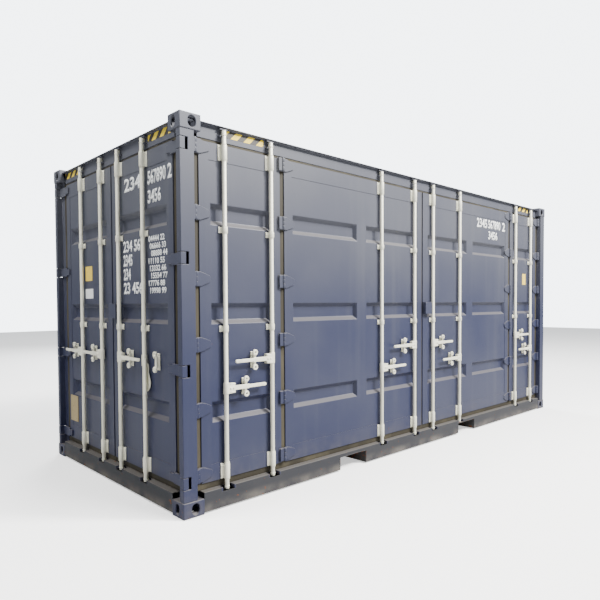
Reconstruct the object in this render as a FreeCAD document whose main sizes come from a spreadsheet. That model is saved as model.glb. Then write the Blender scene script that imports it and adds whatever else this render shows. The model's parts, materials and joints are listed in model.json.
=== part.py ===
"""Twenty-foot high-cube shipping container with folding side doors and hinged end doors.

Millimetres. X runs along the length with the end doors at -X, Y across with the side
doors at -Y, Z up. The origin is at the centre of the footprint, on the ground.
"""

import FreeCAD, Part
import os
import re
import Sketcher

SIZES = {
    # Overall size and corner castings (ISO 668 and ISO 1161).
    "box_length": 6058, "box_width": 2438, "box_height": 2896,
    "casting_length": 178, "casting_width": 162, "casting_height": 118,
    "casting_plate": 28, "casting_wall": 16,
    "twistlock_slot_length": 124, "twistlock_slot_width": 63.5,
    "twistlock_from_end": 102.5, "twistlock_from_side": 89.5,
    "lashing_hole_height": 79, "side_lashing_hole_width": 63, "end_lashing_hole_width": 51,
    # Corner posts: a J-shaped tube by the end doors, a plain tube at the other end.
    "skin_inset": 5, "post_side_face": 122, "post_lip_face": 60, "post_jamb_start": 62,
    "post_jamb_depth": 122, "post_wall": 6, "front_post_depth": 100,
    # Doorway rails. Doors stand back from the container's faces.
    "door_inset": 55, "leaf_thickness": 50, "rail_wall": 4, "sill_base": 12, "sill_top": 160,
    "sill_depth": 115, "header_setback": 5, "header_depth": 160, "header_height": 104,
    "header_drop": 36, "flange_thickness": 8, "flange_overhang": 30,
    "cam_notch_width": 130, "cam_notch_depth": 58, "cam_notch_height": 30,
    # Blind side and blind end.
    "top_rail_size": 60, "bottom_rail_depth": 50, "sheet_thickness": 2,
    "wall_inset": 9, "side_wall_pitch": 278, "side_wall_crest": 72, "side_wall_slope": 68,
    "side_wall_depth": 36, "end_wall_pitch": 250, "end_wall_crest": 110,
    "end_wall_slope": 18, "end_wall_depth": 45,
    "roof_pitch": 209, "roof_crest": 91, "roof_slope": 14, "roof_depth": 20, "roof_drop": 58,
    # Floor and underframe.
    "floor_thickness": 28, "member_height": 122, "member_flange": 45, "member_web": 4,
    "member_lift": 10, "fork_width": 360, "fork_height": 113, "fork_spacing": 2050,
    "fork_offset": -170, "fork_plate": 5,
    # Door leaves: a tube frame round a sheet with pressed troughs.
    "leaf_base": 210, "leaf_head_gap": 20, "leaf_rail_height": 129, "leaf_stile_width": 85,
    "leaf_tube_wall": 3, "panel_inset": 3, "side_leaf_from_end": 190, "fold_from_end": 999,
    "leaf_half_gap": 12, "fold_half_gap": 24, "end_leaf_from_side": 190, "wide_leaf_strip": 110,
    "trough_height": 160, "trough_floor_height": 92, "trough_depth": 36, "trough_end_slope": 24,
    "trough_margin": 14, "trough_from_base": 518, "trough_from_top": 526,
    "gasket_inset": 64, "gasket_thickness": 16, "gasket_gap": 2, "gasket_half_gap": 3,
    # Lock bars with their cams, brackets, handles and catches.
    "bar_radius": 17, "bar_wall": 3.5, "bar_leaf_gap": 8, "bar_foot_gap": 6,
    "bar_play": 0.6, "cam_width": 24, "cam_header_gap": 8, "cam_height": 32, "cam_drop": 24,
    "foot_cam_height": 18, "keeper_gap": 5, "keeper_plate": 10, "keeper_width": 70,
    "keeper_cheek": 11, "bracket_plate": 6, "bracket_half_width": 42, "bracket_wall": 6,
    "end_bracket_height": 113, "guide_height": 42,
    "bracket_from_edge": 62, "guide_above_handle": 254, "upper_guide_share": 0.563,
    "hub_wall": 5, "hub_height": 88, "hub_block_reach": 72, "hub_block_height": 76,
    "hub_block_back": 14, "handle_length": 380, "handle_height": 34, "grip_height": 26,
    "handle_thickness": 12, "handle_front": 8, "upper_handle": 1100, "lower_handle": 900,
    "hanging_handle_length": 250, "hanging_handle_gap": 15,
    "catch_reach": 185, "catch_eye_radius": 23, "catch_eye_rise": 58, "catch_hole_radius": 9,
    "catch_front": 12, "catch_gap": 5, "catch_seat": 3, "catch_stem_width": 24,
    "catch_plate_width": 42, "catch_plate_height": 130,
    "inner_bar_from_middle": 175, "second_bar_from_middle": 735, "third_bar_from_fold": 140,
    "outer_bar_from_end": 399, "outer_end_bar_from_side": 609,
    # Lock boxes on the meeting stiles.
    "lock_box_width": 120, "lock_box_height": 126, "lock_box_base": 1424, "lock_box_wall": 4,
    "lock_box_depth": 40,
    # End door hinges: a pin in a notch of the post's corner, and a blade on the leaf.
    "pin_inset": 26, "pin_radius": 9, "pin_play": 0.1, "notch_width": 70, "notch_depth": 66,
    "notch_half_height": 45, "lug_plate": 12, "knuckle_end": 47, "knuckle_depth": 56,
    "knuckle_half_height": 42, "blade_start": 41, "blade_length": 75, "blade_tip_height": 56,
    "end_hinge_from_base": 45, "end_hinge_from_top": 60,
    # Side door hinges.
    "side_knuckle_inset": 38, "side_knuckle_radius": 14, "side_hinge_height": 105,
    "side_blade_length": 130, "side_lug_length": 80, "side_blade_tip": 62,
    "side_blade_plate": 10, "post_hinge_line": 150, "side_hinge_from_base": 68,
    "side_hinge_from_top": 46,
}

# Places that follow from the sizes above; a formula may use the ones before it.
DERIVED = {
    "header_inset": "door_inset + header_setback",
    "header_top": "box_height - header_drop",
    "header_base": "header_top - header_height",
    "roof_base": "box_height - roof_drop",
    "leaf_top": "header_base - leaf_head_gap",
    "fold_line": "box_length / 2 - fold_from_end",
    "lowest_trough": "leaf_base + trough_from_base",
    "trough_pitch": "(leaf_top - trough_from_top - lowest_trough) / 2",
    "bar_inset": "door_inset - bar_radius - bar_leaf_gap",
    "bar_base": "sill_top - cam_notch_height + bar_foot_gap",
    "cam_top": "header_top - cam_drop",
    "cam_base": "cam_top - cam_height",
    "cam_reach": "header_inset - bar_inset - cam_header_gap",
    "hub_radius": "bar_radius + hub_wall",
    "bracket_nose": "bar_radius + bracket_wall",
    "catch_stem_front": "handle_front + handle_thickness + catch_gap",
    "catch_stem_top": "catch_eye_rise - catch_hole_radius - catch_gap",
    "lowest_bracket": "leaf_base + bracket_from_edge",
    "highest_bracket": "leaf_top - bracket_from_edge",
    "lower_guide": "upper_handle + guide_above_handle",
    "upper_guide": "lower_guide + upper_guide_share * (highest_bracket - lower_guide)",
    "outer_side_bar": "box_length / 2 - outer_bar_from_end",
    "third_side_bar": "fold_line + third_bar_from_fold",
    "outer_end_bar": "box_width / 2 - outer_end_bar_from_side",
    "lowest_end_hinge": "leaf_base + end_hinge_from_base",
    "end_hinge_pitch": "(leaf_top - end_hinge_from_top - lowest_end_hinge) / 3",
    "lowest_side_hinge": "leaf_base + side_hinge_from_base",
    "side_hinge_pitch": "(leaf_top - side_hinge_from_top - lowest_side_hinge) / 5",
}

LEFT = "-box_length / 2"
RIGHT = "box_length / 2"
NEAR = "-box_width / 2"
FAR = "box_width / 2"
NAMES = re.compile(r"[a-z]+(?:_[a-z]+)+")

document = FreeCAD.newDocument("container")
sheet = document.addObject("Spreadsheet::Sheet", "sizes")
for row, (alias, value) in enumerate(SIZES.items(), start=1):
    sheet.set(f"A{row}", str(value))
    sheet.setAlias(f"A{row}", alias)
document.recompute()
sub_parts = []


def in_sheet(formula):
    """Write a formula in the sheet's own cells, with derived places worked in."""
    def spell(word):
        name = word.group()
        return f"({in_sheet(DERIVED[name])})" if name in DERIVED else "sizes." + name
    return NAMES.sub(spell, str(formula))


def bind(item, name, formula):
    """Drive a property with a formula of sizes."""
    item.setExpression(name, in_sheet(formula))


def number(formula):
    """Work out a formula of sizes."""
    return float(sheet.evalExpression(in_sheet(formula)))


def place(item, corner, turn=0):
    """Turn an item about Z, then bind its position."""
    item.Placement = FreeCAD.Placement(
        FreeCAD.Vector(), FreeCAD.Rotation(FreeCAD.Vector(0, 0, 1), turn))
    for axis, formula in zip("xyz", corner):
        bind(item, "Placement.Base." + axis, formula)
    return item


def block(low, high):
    """Make a box between two corners."""
    item = document.addObject("Part::Box", "block")
    place(item, low)
    for side, start, end in zip(("Length", "Width", "Height"), low, high):
        bind(item, side, f"({end}) - ({start})")
    return item


def rod(start, radius, length, along="z"):
    """Make a cylinder that runs from a point along +X, +Y or +Z."""
    item = document.addObject("Part::Cylinder", "rod")
    place(item, start)
    toward = {"x": FreeCAD.Vector(1, 0, 0), "y": FreeCAD.Vector(0, 1, 0),
              "z": FreeCAD.Vector(0, 0, 1)}[along]
    item.Placement.Rotation = FreeCAD.Rotation(FreeCAD.Vector(0, 0, 1), toward)
    bind(item, "Radius", radius)
    bind(item, "Height", length)
    return item


def frustum(low, high, far_low, far_high, near_y, far_y):
    """Make a tapered block along Y; corners are (x, z) pairs at its two ends."""
    item = document.addObject("Part::Wedge", "frustum")
    limits = {"Xmin": low[0], "Zmin": low[1], "Xmax": high[0], "Zmax": high[1],
              "X2min": far_low[0], "Z2min": far_low[1], "X2max": far_high[0],
              "Z2max": far_high[1], "Ymin": near_y, "Ymax": far_y}
    for name, formula in limits.items():
        bind(item, name, formula)
    return item


def fuse(*items):
    """Weld items into one."""
    if len(items) == 1:
        return items[0]
    whole = document.addObject("Part::MultiFuse", "weld")
    whole.Shapes = list(items)
    return whole


def cut(base, *tools):
    """Take tools away from a base."""
    rest = document.addObject("Part::Cut", "cut")
    rest.Base = base
    rest.Tool = fuse(*tools)
    return rest


def group(*items):
    """Gather separate solids into one item."""
    whole = document.addObject("Part::Compound", "group")
    whole.Links = list(items)
    return whole


def mirrored(source, axis):
    """Mirror an item across the plane through the origin that is square to an axis."""
    image = document.addObject("Part::Mirroring", "mirror")
    image.Source = source
    image.Normal = {"x": FreeCAD.Vector(1, 0, 0), "y": FreeCAD.Vector(0, 1, 0)}[axis]
    return image


def copy_at(source, corner, turn=0):
    """Put a linked copy of an item somewhere, turned about Z."""
    link = document.addObject("App::Link", "copy")
    link.LinkedObject = source
    link.LinkTransform = False
    return place(link, corner, turn)


def sub_part(label, item):
    """Name a finished sub-part; its label is its file's name."""
    item.Label = label
    sub_parts.append(item)
    return item


def profile_body(name, role, outlines, length, corner):
    """Pad closed outlines, the first the outside and the rest holes, as a PartDesign body."""
    body = document.addObject("PartDesign::Body", name)
    sketch = body.newObject("Sketcher::SketchObject", name + "_sketch")
    plane = [item for item in body.Origin.OriginFeatures if item.Role == role][0]
    sketch.AttachmentSupport = [(plane, "")]
    sketch.MapMode = "FlatFace"
    for outline in outlines:
        draw_outline(sketch, outline)
    pad = body.newObject("PartDesign::Pad", name + "_pad")
    pad.Profile = sketch
    bind(pad, "Length", length)
    place(body, corner)
    return body


def draw_outline(sketch, outline):
    """Draw a closed polygon whose corners are bound to formulas."""
    first = sketch.GeometryCount
    points = [FreeCAD.Vector(number(across), number(up), 0) for across, up in outline]
    count = len(points)
    for index, point in enumerate(points):
        sketch.addGeometry(Part.LineSegment(point, points[(index + 1) % count]), False)
    for index in range(count):
        follower = first + (index + 1) % count
        sketch.addConstraint(Sketcher.Constraint("Coincident", first + index, 2, follower, 1))
    for index, (corner, point) in enumerate(zip(outline, points)):
        for kind, formula, value in zip(("DistanceX", "DistanceY"), corner, point):
            row = sketch.addConstraint(
                Sketcher.Constraint(kind, -1, 1, first + index, 1, value))
            bind(sketch, f"Constraints[{row}]", formula)


def rectangle(low, high):
    """List the corners of an upright rectangle."""
    return [low, (high[0], low[1]), high, (low[0], high[1])]


# ---------------------------------------------------------------- corners and posts


def stadium(centre, width, height, start, length, along):
    """Make an upright oblong tool along X or Y, round at its top and bottom."""
    rise = f"(({height}) - ({width})) / 2"
    across = 1 if along == "x" else 0
    middle = centre
    low = [start if along == "x" else f"{middle} - {width} / 2",
           start if along == "y" else f"{middle} - {width} / 2",
           f"casting_height / 2 - {rise}"]
    high = [f"{start} + {length}" if along == "x" else f"{middle} + {width} / 2",
            f"{start} + {length}" if along == "y" else f"{middle} + {width} / 2",
            f"casting_height / 2 + {rise}"]
    ends = []
    for sign in "-+":
        point = [start, start, f"casting_height / 2 {sign} {rise}"]
        point[across] = middle
        ends.append(rod(point, f"{width} / 2", length, along))
    return fuse(block(low, high), *ends)


def corner_casting():
    """Make the casting of the -X, -Y, lower corner, hollow with three openings."""
    solid = block((LEFT, NEAR, 0), (f"{LEFT} + casting_length", f"{NEAR} + casting_width",
                                    "casting_height"))
    hollow = block(
        (f"{LEFT} + casting_wall", f"{NEAR} + casting_wall", "casting_plate"),
        (f"{LEFT} + casting_length - casting_wall", f"{NEAR} + casting_width - casting_wall",
         "casting_height - casting_wall"))
    middle_x = f"{LEFT} + twistlock_from_end"
    middle_y = f"{NEAR} + twistlock_from_side"
    straight = "(twistlock_slot_length - twistlock_slot_width) / 2"
    slot = [block((f"{middle_x} - {straight}", f"{middle_y} - twistlock_slot_width / 2", 0),
                  (f"{middle_x} + {straight}", f"{middle_y} + twistlock_slot_width / 2",
                   "casting_plate"))]
    for sign in "-+":
        slot.append(rod((f"{middle_x} {sign} {straight}", middle_y, 0),
                        "twistlock_slot_width / 2", "casting_plate"))
    side_hole = stadium(middle_x, "side_lashing_hole_width", "lashing_hole_height",
                        NEAR, "casting_wall", "y")
    end_hole = stadium(middle_y, "end_lashing_hole_width", "lashing_hole_height",
                       LEFT, "casting_wall", "x")
    return cut(solid, hollow, *slot, side_hole, end_hole)


def make_castings():
    """Mirror the first casting to all eight corners."""
    near_left = corner_casting()
    far_left = mirrored(near_left, "y")
    lower = group(near_left, far_left, mirrored(near_left, "x"), mirrored(far_left, "x"))
    sub_part("bottom_corner_castings", lower)
    upper = document.addObject("Part::Mirroring", "mirror")
    upper.Source = lower
    upper.Normal = FreeCAD.Vector(0, 0, 1)
    bind(upper, "Base.z", "box_height / 2")
    sub_part("top_corner_castings", upper)


def end_hinge_heights():
    """List the heights of the four hinges of an end door."""
    return [f"lowest_end_hinge + {index} * end_hinge_pitch" for index in range(4)]


def make_posts():
    """Build the four corner posts, those by the end doors with notches for the hinges."""
    height = "box_height - 2 * casting_height"
    outside = [("skin_inset", "skin_inset"), ("post_side_face", "skin_inset"),
               ("post_side_face", "post_jamb_depth"), ("post_jamb_start", "post_jamb_depth"),
               ("post_jamb_start", "post_lip_face"), ("skin_inset", "post_lip_face")]
    inside = [("skin_inset + post_wall", "skin_inset + post_wall"),
              ("post_side_face - post_wall", "skin_inset + post_wall"),
              ("post_side_face - post_wall", "post_jamb_depth - post_wall"),
              ("post_jamb_start + post_wall", "post_jamb_depth - post_wall"),
              ("post_jamb_start + post_wall", "post_lip_face - post_wall"),
              ("skin_inset + post_wall", "post_lip_face - post_wall")]
    tube = profile_body("door_post_tube", "XY_Plane", [outside, inside], height,
                        (LEFT, NEAR, "casting_height"))
    notches = [
        block((LEFT, NEAR, f"{level} - notch_half_height"),
              (f"{LEFT} + notch_width", f"{NEAR} + notch_depth", f"{level} + notch_half_height"))
        for level in end_hinge_heights()]
    near_post = sub_part("near_door_post", cut(tube, *notches))
    sub_part("rear_door_post", mirrored(near_post, "y"))
    start = "skin_inset"
    outline = rectangle((start, start), ("post_side_face", "front_post_depth"))
    hollow = rectangle(
        (f"{start} + post_wall", f"{start} + post_wall"),
        ("post_side_face - post_wall", "front_post_depth - post_wall"))
    plain = profile_body("front_post_tube", "XY_Plane", [outline, hollow], height,
                         (LEFT, NEAR, "casting_height"))
    near_front = sub_part("near_front_post", mirrored(plain, "x"))
    sub_part("rear_front_post", mirrored(near_front, "y"))


def make_end_hinge_pins():
    """Build the pins of the end doors, each with the two lug plates that hold it."""
    pins = []
    inner = "skin_inset + post_wall"
    for level in end_hinge_heights():
        plates = [
            block((f"{LEFT} + {inner}", f"{NEAR} + {inner}", f"{level} + {low}"),
                  (f"{LEFT} + post_side_face - post_wall", f"{NEAR} + post_lip_face - post_wall",
                   f"{level} + {low} + lug_plate"))
            for low in ("notch_half_height", "(-notch_half_height - lug_plate)")]
        shaft = rod((f"{LEFT} + pin_inset", f"{NEAR} + pin_inset",
                     f"{level} - notch_half_height - lug_plate"),
                    "pin_radius", "2 * (notch_half_height + lug_plate)")
        pins.append(fuse(shaft, *plates))
    near_pins = group(*pins)
    sub_part("end_hinge_pins", group(near_pins, mirrored(near_pins, "y")))


# ---------------------------------------------------------------- rails


def hollow_rail(low, high, wall, along):
    """Make a square tube between two corners, open at its ends along X or Y."""
    index = "xyz".index(along)
    inner_low = [f"{value} + {wall}" for value in low]
    inner_high = [f"{value} - {wall}" for value in high]
    inner_low[index] = low[index]
    inner_high[index] = high[index]
    return cut(block(low, high), block(inner_low, inner_high))


def fork_centres():
    """List the fork pockets' places along the container."""
    return [f"fork_offset {sign} fork_spacing / 2" for sign in "-+"]


def fork_openings(near, far):
    """Make the tools that open a bottom rail for the fork tunnels."""
    outside = "(fork_width / 2 + fork_plate)"
    return [block((f"{centre} - {outside}", near, 0),
                  (f"{centre} + {outside}", far, "sill_base + fork_height + fork_plate"))
            for centre in fork_centres()]


def side_bar_places():
    """List the side lock bars from left to right."""
    names = ("outer_side_bar", "third_side_bar", "second_bar_from_middle", "inner_bar_from_middle")
    return [f"-{name}" for name in names] + list(reversed(names))


def end_bar_places():
    """List the end lock bars from the near side to the far side."""
    return ["-outer_end_bar", "-inner_bar_from_middle", "inner_bar_from_middle", "outer_end_bar"]


def make_side_rails():
    """Build the header and sill of the side doorway and the rails of the blind side."""
    start = f"{LEFT} + casting_length"
    end = f"{RIGHT} - casting_length"
    header = hollow_rail((start, f"{NEAR} + header_inset", "header_base"),
                         (end, f"{NEAR} + header_depth", "header_top"), "rail_wall", "x")
    flange = block((start, f"{NEAR} + flange_overhang", "header_top"),
                   (end, f"{NEAR} + header_depth", "header_top + flange_thickness"))
    sub_part("side_header", fuse(header, flange))
    sill = hollow_rail((start, f"{NEAR} + skin_inset", "sill_base"),
                       (end, f"{NEAR} + sill_depth", "sill_top"), "rail_wall", "x")
    notches = [block((f"{place_x} - cam_notch_width / 2", NEAR, "sill_top - cam_notch_height"),
                     (f"{place_x} + cam_notch_width / 2", f"{NEAR} + cam_notch_depth", "sill_top"))
               for place_x in side_bar_places()]
    pockets = fork_openings(NEAR, f"{NEAR} + sill_depth")
    sub_part("side_sill", cut(sill, *notches, *pockets))
    depth = "(skin_inset + bottom_rail_depth)"
    web = block((start, f"{FAR} - {depth}", "sill_base"), (end, f"{FAR} - skin_inset", "sill_top"))
    throat = block((start, f"{FAR} - {depth}", "sill_base + rail_wall"),
                   (end, f"{FAR} - skin_inset - rail_wall", "sill_top - rail_wall"))
    sub_part("rear_bottom_rail", cut(web, throat, *fork_openings(f"{FAR} - {depth}", FAR)))
    sub_part("rear_top_rail", hollow_rail(
        (start, f"{FAR} - skin_inset - top_rail_size", "header_top - top_rail_size"),
        (end, f"{FAR} - skin_inset", "header_top"), "rail_wall", "x"))


def make_end_rails():
    """Build the header and sill of the end doorway and the rails of the blind end."""
    start = f"{NEAR} + casting_width"
    end = f"{FAR} - casting_width"
    header = hollow_rail((f"{LEFT} + header_inset", start, "header_base"),
                         (f"{LEFT} + header_depth", end, "header_top"), "rail_wall", "y")
    flange = block((f"{LEFT} + flange_overhang", start, "header_top"),
                   (f"{LEFT} + header_depth", end, "header_top + flange_thickness"))
    sub_part("end_header", fuse(header, flange))
    sill = hollow_rail((f"{LEFT} + skin_inset", start, "sill_base"),
                       (f"{LEFT} + sill_depth", end, "sill_top"), "rail_wall", "y")
    notches = [block((LEFT, f"{place_y} - cam_notch_width / 2", "sill_top - cam_notch_height"),
                     (f"{LEFT} + cam_notch_depth", f"{place_y} + cam_notch_width / 2", "sill_top"))
               for place_y in end_bar_places()]
    sub_part("end_sill", cut(sill, *notches))
    inner = "(skin_inset + top_rail_size)"
    sub_part("front_top_rail", hollow_rail(
        (f"{RIGHT} - {inner}", start, "header_top - top_rail_size"),
        (f"{RIGHT} - skin_inset", end, "header_top"), "rail_wall", "y"))
    sub_part("front_bottom_rail", hollow_rail(
        (f"{RIGHT} - {inner}", start, "sill_base"), (f"{RIGHT} - skin_inset", end, "sill_top"),
        "rail_wall", "y"))


# ---------------------------------------------------------------- sheets and floor


def corrugation(length, pitch, crest, slope, depth):
    """List the points of a corrugated sheet's centre line, with a flat at each end."""
    count = int(length // pitch)
    margin = (length - count * pitch) / 2
    points = [(0, 0)]
    for index in range(count):
        at = margin + index * pitch + (pitch - crest - 2 * slope) / 2
        points += [(at, 0), (at + slope, depth), (at + slope + crest, depth),
                   (at + crest + 2 * slope, 0)]
    points.append((length, 0))
    return points


def sheet_section(line, thickness):
    """Close a centre line into a section, with the same thickness across the sheet's flats."""
    upper = [FreeCAD.Vector(across, up + thickness, 0) for across, up in reversed(line)]
    lower = [FreeCAD.Vector(across, up, 0) for across, up in line]
    return Part.Face(Part.makePolygon(lower + upper + lower[:1]))


def casting_envelopes():
    """Make plain boxes where the castings are, for the sheets to stop at."""
    length, width = number("casting_length"), number("casting_width")
    height = number("casting_height")
    corners = [(across, aside, up) for across in (number(LEFT), number(RIGHT) - length)
               for aside in (number(NEAR), number(FAR) - width)
               for up in (0, number("box_height") - height)]
    return [Part.makeBox(length, width, height, FreeCAD.Vector(*corner)) for corner in corners]


def corrugated_sheet(label, line, depth, turn, start):
    """Make a sub-part from a corrugated centre line, swept and set in place between castings."""
    section = sheet_section(line, number("sheet_thickness"))
    shape = section.extrude(FreeCAD.Vector(0, 0, depth))
    shape.Placement = FreeCAD.Placement(FreeCAD.Vector(*start), turn)
    item = document.addObject("Part::Feature", label)
    item.Shape = shape.cut(casting_envelopes())
    return sub_part(label, item)


def make_sheets():
    """Build the rear wall, the front wall and the roof from corrugated sheet."""
    upright, across = FreeCAD.Vector(0, 0, 1), FreeCAD.Vector(1, 0, 0)
    base = number("sill_top")
    wall_height = number("header_top - top_rail_size") - base
    length = number("box_length - 2 * post_side_face")
    corrugated_sheet(
        "rear_wall", corrugation(length, number("side_wall_pitch"), number("side_wall_crest"),
                                 number("side_wall_slope"), number("side_wall_depth")),
        wall_height, FreeCAD.Rotation(),
        (-length / 2, number(f"{FAR} - wall_inset - side_wall_depth - sheet_thickness"), base))
    width = number("box_width - 2 * front_post_depth")
    corrugated_sheet(
        "front_wall", corrugation(width, number("end_wall_pitch"), number("end_wall_crest"),
                                  number("end_wall_slope"), number("end_wall_depth")),
        wall_height, FreeCAD.Rotation(upright, -90),
        (number(f"{RIGHT} - wall_inset - end_wall_depth - sheet_thickness"), width / 2, base))
    near = number(f"{NEAR} + header_depth")
    far = number(f"{FAR} - skin_inset - top_rail_size")
    left = number(f"{LEFT} + header_depth")
    right = number(f"{RIGHT} - skin_inset - top_rail_size")
    corrugated_sheet(
        "roof_sheet", corrugation(right - left, number("roof_pitch"), number("roof_crest"),
                                  number("roof_slope"), number("roof_depth")),
        far - near, FreeCAD.Rotation(across, 90), (left, far, number("roof_base")))


def cross_member(centre):
    """Make one C-shaped cross member under the floor."""
    low = (centre, f"{NEAR} + sill_depth", "member_lift")
    high = (f"{centre} + member_flange", f"{FAR} - skin_inset - bottom_rail_depth",
            "member_lift + member_height")
    throat = block((f"{low[0]} + member_web", low[1], f"{low[2]} + member_web"),
                   (high[0], high[1], f"{high[2]} - member_web"))
    return cut(block(low, high), throat)


def make_underframe():
    """Build the floor boards, the cross members and the fork tunnels."""
    inner_far = f"{FAR} - skin_inset - bottom_rail_depth"
    floor_base = "sill_top - floor_thickness"
    boards = block((f"{LEFT} + sill_depth", f"{NEAR} + sill_depth", floor_base),
                   (f"{RIGHT} - skin_inset - top_rail_size", inner_far, "sill_top"))
    door_post_edge = f"{LEFT} + post_side_face"
    post_corners = [
        block((LEFT, NEAR, floor_base), (door_post_edge, f"{NEAR} + post_jamb_depth", "sill_top")),
        block((LEFT, f"{FAR} - post_jamb_depth", floor_base), (door_post_edge, FAR, "sill_top")),
        block((f"{RIGHT} - post_side_face", NEAR, floor_base),
              (RIGHT, f"{NEAR} + front_post_depth", "sill_top")),
        block((f"{RIGHT} - post_side_face", f"{FAR} - front_post_depth", floor_base),
              (RIGHT, FAR, "sill_top"))]
    sub_part("plywood_floor", cut(boards, *post_corners))
    reach = "(fork_width / 2 + fork_plate)"
    left_fork, right_fork = fork_centres()
    bays = ((f"{LEFT} + sill_depth", f"{left_fork} - {reach}", 4),
            (f"{left_fork} + {reach}", f"{right_fork} - {reach}", 5),
            (f"{right_fork} + {reach}", f"{RIGHT} - skin_inset - top_rail_size", 5))
    members = []
    for start, end, count in bays:
        for index in range(count):
            share = f"(({end}) - ({start}) - {count} * member_flange) / {count + 1}"
            members.append(cross_member(
                f"{start} + {index + 1} * {share} + {index} * member_flange"))
    sub_part("cross_members", group(*members))
    for name, centre in zip(("left_fork_tunnel", "right_fork_tunnel"), (left_fork, right_fork)):
        shell = block((f"{centre} - {reach}", f"{NEAR} + skin_inset", "sill_base"),
                      (f"{centre} + {reach}", f"{FAR} - skin_inset",
                       "sill_base + fork_height + fork_plate"))
        throat = block((f"{centre} - fork_width / 2", f"{NEAR} + skin_inset", "sill_base"),
                       (f"{centre} + fork_width / 2", f"{FAR} - skin_inset",
                        "sill_base + fork_height"))
        sub_part(name, cut(shell, throat))


# ---------------------------------------------------------------- door leaves


def trough(start, end, level):
    """Make the outer skin and the inner tool of one pressed trough, seen from y = 0 inward."""
    shapes = []
    floor_drop = "(trough_height - trough_floor_height) / 2"
    for grow, near, far in (("sheet_thickness", "sheet_thickness",
                             "trough_depth + sheet_thickness"), ("0", "0", "trough_depth")):
        low = (f"{start} - {grow}", f"{level} - trough_height / 2 - {grow}")
        high = (f"{end} + {grow}", f"{level} + trough_height / 2 + {grow}")
        shapes.append(frustum(
            low, high, (f"{low[0]} + trough_end_slope", f"{low[1]} + {floor_drop}"),
            (f"{high[0]} - trough_end_slope", f"{high[1]} - {floor_drop}"), near, far))
    return shapes


def door_leaf(width, strips):
    """Make a leaf from x = 0, outer face at y = 0: hollow frame and pressed sheet.

    Strips is how many panel fields stand side by side.
    """
    base, top = "leaf_base", "leaf_top"
    inner = ("leaf_stile_width", "leaf_base + leaf_rail_height")
    outer = (f"{width} - leaf_stile_width", "leaf_top - leaf_rail_height")
    wall = "leaf_tube_wall"
    slab = block((0, 0, base), (width, "leaf_thickness", top))
    window = block((inner[0], 0, inner[1]), (outer[0], "leaf_thickness", outer[1]))
    void = cut(
        block((wall, wall, f"{base} + {wall}"),
              (f"{width} - {wall}", f"leaf_thickness - {wall}", f"{top} - {wall}")),
        block((f"{inner[0]} - {wall}", 0, f"{inner[1]} - {wall}"),
              (f"{outer[0]} + {wall}", "leaf_thickness", f"{outer[1]} + {wall}")))
    frame = cut(slab, window, void)
    panel = block((inner[0], "panel_inset", inner[1]),
                  (outer[0], "panel_inset + sheet_thickness", outer[1]))
    field = f"(({width}) - 2 * leaf_stile_width - {strips - 1} * wide_leaf_strip) / {strips}"
    skins, tools = [], []
    for strip in range(strips):
        start = f"leaf_stile_width + {strip} * ({field} + wide_leaf_strip) + trough_margin"
        end = f"{start} + {field} - 2 * trough_margin"
        for step in range(3):
            skin, tool = trough(start, end, f"lowest_trough + {step} * trough_pitch")
            for shape in (skin, tool):
                bind(shape, "Placement.Base.y", "panel_inset")
            skins.append(skin)
            tools.append(tool)
    return fuse(frame, cut(fuse(panel, *skins), *tools))


def make_side_leaves():
    """Place the four folding leaves of the side doorway, with their gaskets."""
    narrow_width = "(box_length / 2 - side_leaf_from_end - fold_line - fold_half_gap)"
    wide_width = "(fold_line - fold_half_gap - leaf_half_gap)"
    face = f"{NEAR} + door_inset"
    narrow = door_leaf(narrow_width, 1)
    wide = door_leaf(wide_width, 2)
    leaves = (("left_narrow_leaf", narrow, f"({LEFT} + side_leaf_from_end)", narrow_width),
              ("left_wide_leaf", wide, "(fold_half_gap - fold_line)", wide_width),
              ("right_wide_leaf", wide, "leaf_half_gap", wide_width),
              ("right_narrow_leaf", narrow, "(fold_line + fold_half_gap)", narrow_width))
    for label, leaf, start, width in leaves:
        sub_part(label, copy_at(leaf, (start, face, 0)))
    edge = "(box_length / 2 - post_side_face - gasket_gap)"
    seal = block((f"-{edge}", f"{NEAR} + gasket_inset", "sill_top"),
                 (edge, f"{NEAR} + gasket_inset + gasket_thickness", "header_base"))
    windows = [block((start, f"{NEAR} + gasket_inset", "leaf_base"),
                     (f"{start} + {width}", f"{NEAR} + gasket_inset + gasket_thickness",
                      "leaf_top"))
               for _, _, start, width in leaves]
    sub_part("side_leaf_gaskets", cut(seal, *windows))


def end_hinge_blade(level):
    """Make one blade of the near end door: a bored corner block and a plate on the leaf."""
    low = f"{level} - knuckle_half_height"
    high = f"{level} + knuckle_half_height"
    knuckle = block((f"{LEFT} + skin_inset", f"{NEAR} + skin_inset", low),
                    (f"{LEFT} + knuckle_end", f"{NEAR} + knuckle_depth", high))
    plate_start = f"{NEAR} + knuckle_end"
    plate = block((f"{LEFT} + blade_start", plate_start, low),
                  (f"{LEFT} + door_inset", f"{NEAR} + end_leaf_from_side + 0.2 * blade_length",
                   high))
    tip = block((f"{LEFT} + blade_start", plate_start, f"{level} - blade_tip_height / 2"),
                (f"{LEFT} + door_inset", f"{NEAR} + end_leaf_from_side + blade_length",
                 f"{level} + blade_tip_height / 2"))
    bore = rod((f"{LEFT} + pin_inset", f"{NEAR} + pin_inset", low), "pin_radius + pin_play",
               "2 * knuckle_half_height")
    return cut(fuse(knuckle, plate, tip), bore)


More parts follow.
